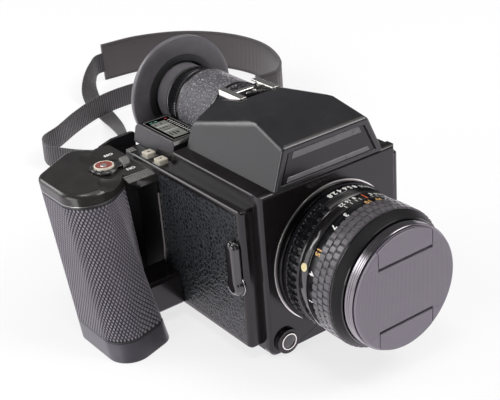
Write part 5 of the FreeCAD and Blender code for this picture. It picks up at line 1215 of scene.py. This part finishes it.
leverLevels = [(0.25, 0.3), (0.0, 0.5), (0.0, 1.9), (0.2, 2.3), (0.6, 2.5), (0.75, 3.1), (1.0, 3.5),
               (1.5, 3.8), (2.2, 4.0), (3.0, 4.1)]
placePiece("depthLever", *layeredPlate(leverOutline(), leverLevels, onSide), "glossLens", "depth_lever",
           "moulded_black", smoothAngle=30, node="depth_lever")
hubRing = [onSide(np.column_stack([circle(48) * radius + (lever["y"], lever["hub"]), np.full(48, out)]))
           for radius, out in ((5.9, 0.0), (5.9, 0.25), (5.75, 0.4), (5.35, 0.4), (5.2, 0.25), (5.2, 0.0))]
placePiece("leverRing", np.vstack(hubRing), gridFaces(6, 48, wrapRows=True, wrapColumns=True), "satinSteel")


release = {"x": -32.2, "height": 7.2}


def releasePart(name, profile, finish, body, slot=None, **more):
    turnedPiece(name, profile, finish, body, slot, 64, height=release["height"], across=release["x"], **more)


releaseRows = [(0, 31.7), (4.7, 31.7), (4.7, 38.0), (4.5, 38.2), (3.8, 38.2), (3.6, 38.0), (3.2, 37.95),
               (2.8, 38.15), (2.0, 38.2), (0.5, 38.15), (0, 38.15)]
releasePart("releaseButton", releaseRows, "glossLens", "lens_release", "moulded_black", node="lens_release")
releasePart("releaseRing", [(3.85, 37.9), (4.45, 37.9), (4.45, 38.45), (3.85, 38.45)], "chromePlate",
            "lens_release", soft=0.15)
releasePart("releaseCollar", [(4.95, 36.6), (6.1, 36.6), (6.1, 37.9), (4.95, 37.9)], "glossLens", "camera_body",
            soft=0.3)
roundedCopy("side_catch", 0.25, "glossLens")
print("deck and levers made")


# Back, base and fittings

roundedCopy("film_back", 0.6, "satinEnamel", "film_back")
roundedCopy("latch_key", 0.3, "satinSteel", "latch_key")
roundedCopy("base_plate", 0.4, "satinEnamel")
roundedCopy("strap_clips", 0.3, "erodedAbs")
roundedCopy("supply_spool", 0.2, "filledNylon", "supply_spool")
roundedCopy("takeup_spool", 0.2, "filledNylon", "takeup_spool")
roundedCopy("film_insert", 0.3, "filledNylon", "film_back")
print("back made")


# Neck strap

# the strap's course as in the solids: across, back, height of the lowest edge, turn from upright to flat in
# degrees
strap = {
    "webbing": [(50.7, 84.6, 67, 0), (49.6, 98, 58, 0), (41, 128, 37, 0), (25, 166, 17, 0), (6, 205, 4, 0),
                (-7, 232, 0.6, 0), (-13, 249, 0, 0), (-9, 262, 0, 0), (8, 272, 0.2, 0), (28, 284, 1, 0),
                (48, 292, 2.2, 0), (75, 298, 2.2, 0), (92, 299, 1.4, 0), (106, 293, 1, 0), (113, 278, 2, 0),
                (116, 258, 4, 0), (122, 238, 6, 0), (129, 223, 7, 0), (136, 216.8, 7.2, 0), (141, 216, 7.2, 0)],
    "pad": [(141, 216, 0, 0), (157, 214, 0, 0), (171, 226, 0, 0), (181, 245, 0, 0), (187, 268, 0, 0),
            (186, 294, 0, 0), (176, 322, 0, 0), (157, 345, 0, 0), (128, 360, 0, 0), (98, 363, 0, 0)],
    "tail": [(98, 363, 7.2, 0), (93, 363.2, 6.8, 0), (84, 356, 4.5, 10), (75, 345, 1.5, 35), (68, 333, 0.3, 65),
             (64, 320, 0.1, 85), (61, 304, 0.1, 90), (58, 289, 0.1, 90), (53, 272, 1.6, 85), (44, 250, 6, 75),
             (30, 220, 15, 65), (8, 178, 32, 60), (-14, 136, 52, 60), (-34.5, 96, 70.5, 60)],
    "webWidth": 15.6, "webThick": 1.6, "padWidth": 30.0, "padThick": 2.4, "tailWidth": 6.4, "tailThick": 1.4,
}


def smoothRoute(route, step):
    # A Catmull-Rom curve through the route's places, run over their chord lengths, in equal steps.
    route = np.asarray(route, float)
    run = np.concatenate([[0], np.cumsum(np.linalg.norm(np.diff(route[:, :2], axis=0), axis=1))])
    slope = np.gradient(route, run, axis=0)
    at = np.linspace(0, run[-1], max(int(run[-1] / step), 8) + 1)
    k = np.clip(np.searchsorted(run, at, side="right") - 1, 0, len(run) - 2)
    length = (run[k + 1] - run[k])[:, None]
    t = ((at - run[k]) / (run[k + 1] - run[k]))[:, None]
    a, b = route[k], route[k + 1]
    return ((2 * t ** 3 - 3 * t ** 2 + 1) * a + (t ** 3 - 2 * t ** 2 + t) * length * slope[k]
            + (3 * t ** 2 - 2 * t ** 3) * b + (t ** 3 - t ** 2) * length * slope[k + 1]), at


def strapFrame(path, widths, thick):
    # Each place's middle, and its unit directions across the band's width and through its thickness.
    heading = unit(np.gradient(path[:, :2], axis=0))
    side = np.stack([heading[:, 1], -heading[:, 0], 0 * heading[:, 0]], -1)
    turn = np.radians(path[:, 3])[:, None]
    wide = np.array([(0, 0, 1)]) * np.cos(turn) + side * np.sin(turn)
    deep = np.array([(0, 0, 1)]) * np.sin(turn) - side * np.cos(turn)
    lift = path[:, 2] + np.abs(wide[:, 2]) * widths / 2 + np.abs(deep[:, 2]) * thick / 2
    return np.column_stack([path[:, :2], np.maximum(lift, 0.05)]), wide, deep


def noWave(along, across):
    return 0 * along * across


def strapBand(name, node, route, widthOf, thick, section, finish, slot, wave=noWave, step=1.6):
    # The section, (share of half the width, share of half the thickness), carried along the route and closed
    # at both ends; a wave moves both faces through the thickness. Its UV is the place along and across in
    # millimetres.
    path, at = smoothRoute(route, step)
    widths = widthOf(at / at[-1])
    middle, wide, deep = strapFrame(path, widths, thick)
    section = np.asarray(section, float)
    across = section[None, :, 0] * widths[:, None] / 2
    points = (middle[:, None] + wide[:, None] * across[..., None]
              + deep[:, None] * (section[None, :, 1:] * thick / 2 + wave(at[:, None], across)[..., None]))
    uv = np.stack([at[:, None] + 0 * across, across], -1)
    piece = placePiece(name, *stackRings(list(points)), finish, slot=slot, smoothAngle=50,
                       uv=uv.reshape(-1, 2), node=node)
    area = float(np.sum((widths[1:] + widths[:-1]) / 2 * np.diff(at)))
    return piece, at[-1], area


def bandSection(rows):
    # A flat band's section: rows give (share across, share deep) for one face, mirrored for the other.
    rows = np.asarray(rows, float)
    return np.vstack([rows, [(1.0, 0.0)], rows[::-1] * [1, -1], [(-1.0, 0.0)]])


webSection = bandSection([
    (-0.98, 0.7), (-0.9, 0.95), (-0.45, 1.0), (0.0, 1.0), (0.45, 1.0), (0.9, 0.95), (0.98, 0.7)])
padSection = bandSection([
    (-0.99, 0.45), (-0.965, 0.85), (-0.93, 0.95), (-0.9, 0.7), (-0.87, 0.7), (-0.83, 1.0), (-0.4, 1.0),
    (0.0, 1.0), (0.4, 1.0), (0.83, 1.0), (0.87, 0.7), (0.9, 0.7), (0.93, 0.95), (0.965, 0.85), (0.99, 0.45)])


def padWave(along, across):
    # Creases where the pad bends hardest, slanting with the height, and a slow wander all along.
    bend = np.exp(-((along - 24) / 13) ** 2) + 0.6 * np.exp(-((along - 96) / 20) ** 2)
    crease = 0.35 * bend * np.sin(along * 1.35 + across * 0.16) * (1 - (across / 15.5) ** 2)
    return crease + 0.3 * np.sin(along * 0.045 + across * 0.03)


def tailWidths(share):
    wide, narrow = strap["webWidth"], strap["tailWidth"]
    return np.interp(share, (0.0, 0.1, 0.62, 1.0), (wide, wide, narrow, narrow))


webbing, webRun, _ = strapBand(
    "strapWebbing", "strap_webbing", strap["webbing"], lambda t: 0 * t + strap["webWidth"], strap["webThick"],
    webSection, "ribbedWebbing", "strap_web", lambda along, across: 0.35 * np.sin(along * 0.05 + across * 0.08))
pad, padRun, _ = strapBand("strapPad", "strap_pad", strap["pad"], lambda t: 0 * t + strap["padWidth"],
                           strap["padThick"], padSection, "padSkin", "strap_leather", padWave, step=1.2)
tail, tailRun, tailArea = strapBand("strapTail", "strap_tail", strap["tail"], tailWidths, strap["tailThick"],
                                    webSection, "ribbedWebbing", "strap_web")


def stitchRows(route, width, thick, shares, pitch, size):
    # Thread stitches lying on both faces: a six-sided bead drawn out along the path at every pitch.
    path, at = smoothRoute(route, 0.6)
    middle, wide, deep = strapFrame(path, width + 0 * at, thick)
    parts = []
    for share, face in [(share, face) for share in shares for face in (-1, 1)]:
        line = middle + wide * share * width / 2 + deep * face * thick * 0.42
        for start in np.arange(4, at[-1] - 4, pitch):
            ends = np.array([np.interp([start, start + pitch * 0.62], at, line[:, k]) for k in range(3)]).T
            k = min(np.searchsorted(at, start), len(at) - 1)
            bead = circle(6) @ np.array([wide[k], deep[k]]) * size
            taper = ((0, 0.5), (0, 1.0), (1, 1.0), (1, 0.5))
            parts.append(stackRings([ends[end] + bead * scale for end, scale in taper]))
    return joinParts(parts)


stitches = stitchRows(strap["pad"], strap["padWidth"], strap["padThick"], (-0.885, 0.885), 3.4, 0.22)
placePiece("padStitches", *stitches, "filledNylon", slot="strap_web", smoothAngle=60)
print("strap made")


# Floor

floorMesh = bpy.data.meshes.new("floor")
floorMesh.from_pydata([(-3, -3, 0), (3, -3, 0), (3, 3, 0), (-3, 3, 0)], [], [(0, 1, 2, 3)])
# pale paper that glows: a share of plain white glow is mixed in for the view, evenly whitening the floor and
# softening its shadows, and for reflections a brighter tinted glow, a painted reflection of a lit floor
paperTree, paper = startFinish("palePaper", {"Roughness": 0.8, "Specular IOR Level": 0.2})
paper.inputs["Base Color"].default_value = linear(studio["floor"])
rays = addNode(paperTree, "ShaderNodeLightPath").outputs
glossy = rays["Is Glossy Ray"]
lit = maths(paperTree, "MULTIPLY", maths(paperTree, "MAXIMUM", rays["Is Camera Ray"], glossy), studio["lift"])
glow = addNode(paperTree, "ShaderNodeEmission", {
    "Color": toneBetween(paperTree, glossy, "#ffffff", studio["glowTintInReflections"]),
    "Strength": ramp(paperTree, glossy, 0, 1, 1.0, studio["shine"])}).outputs[0]
lifted = addNode(paperTree, "ShaderNodeMixShader", {0: lit, 1: paper.outputs[0], 2: glow}).outputs[0]
paperTree.links.new(lifted, paperTree.nodes["Material Output"].inputs["Surface"])
floorMesh.materials.append(finishes["palePaper"])
newObject("floor", floorMesh)
print("scene ready")
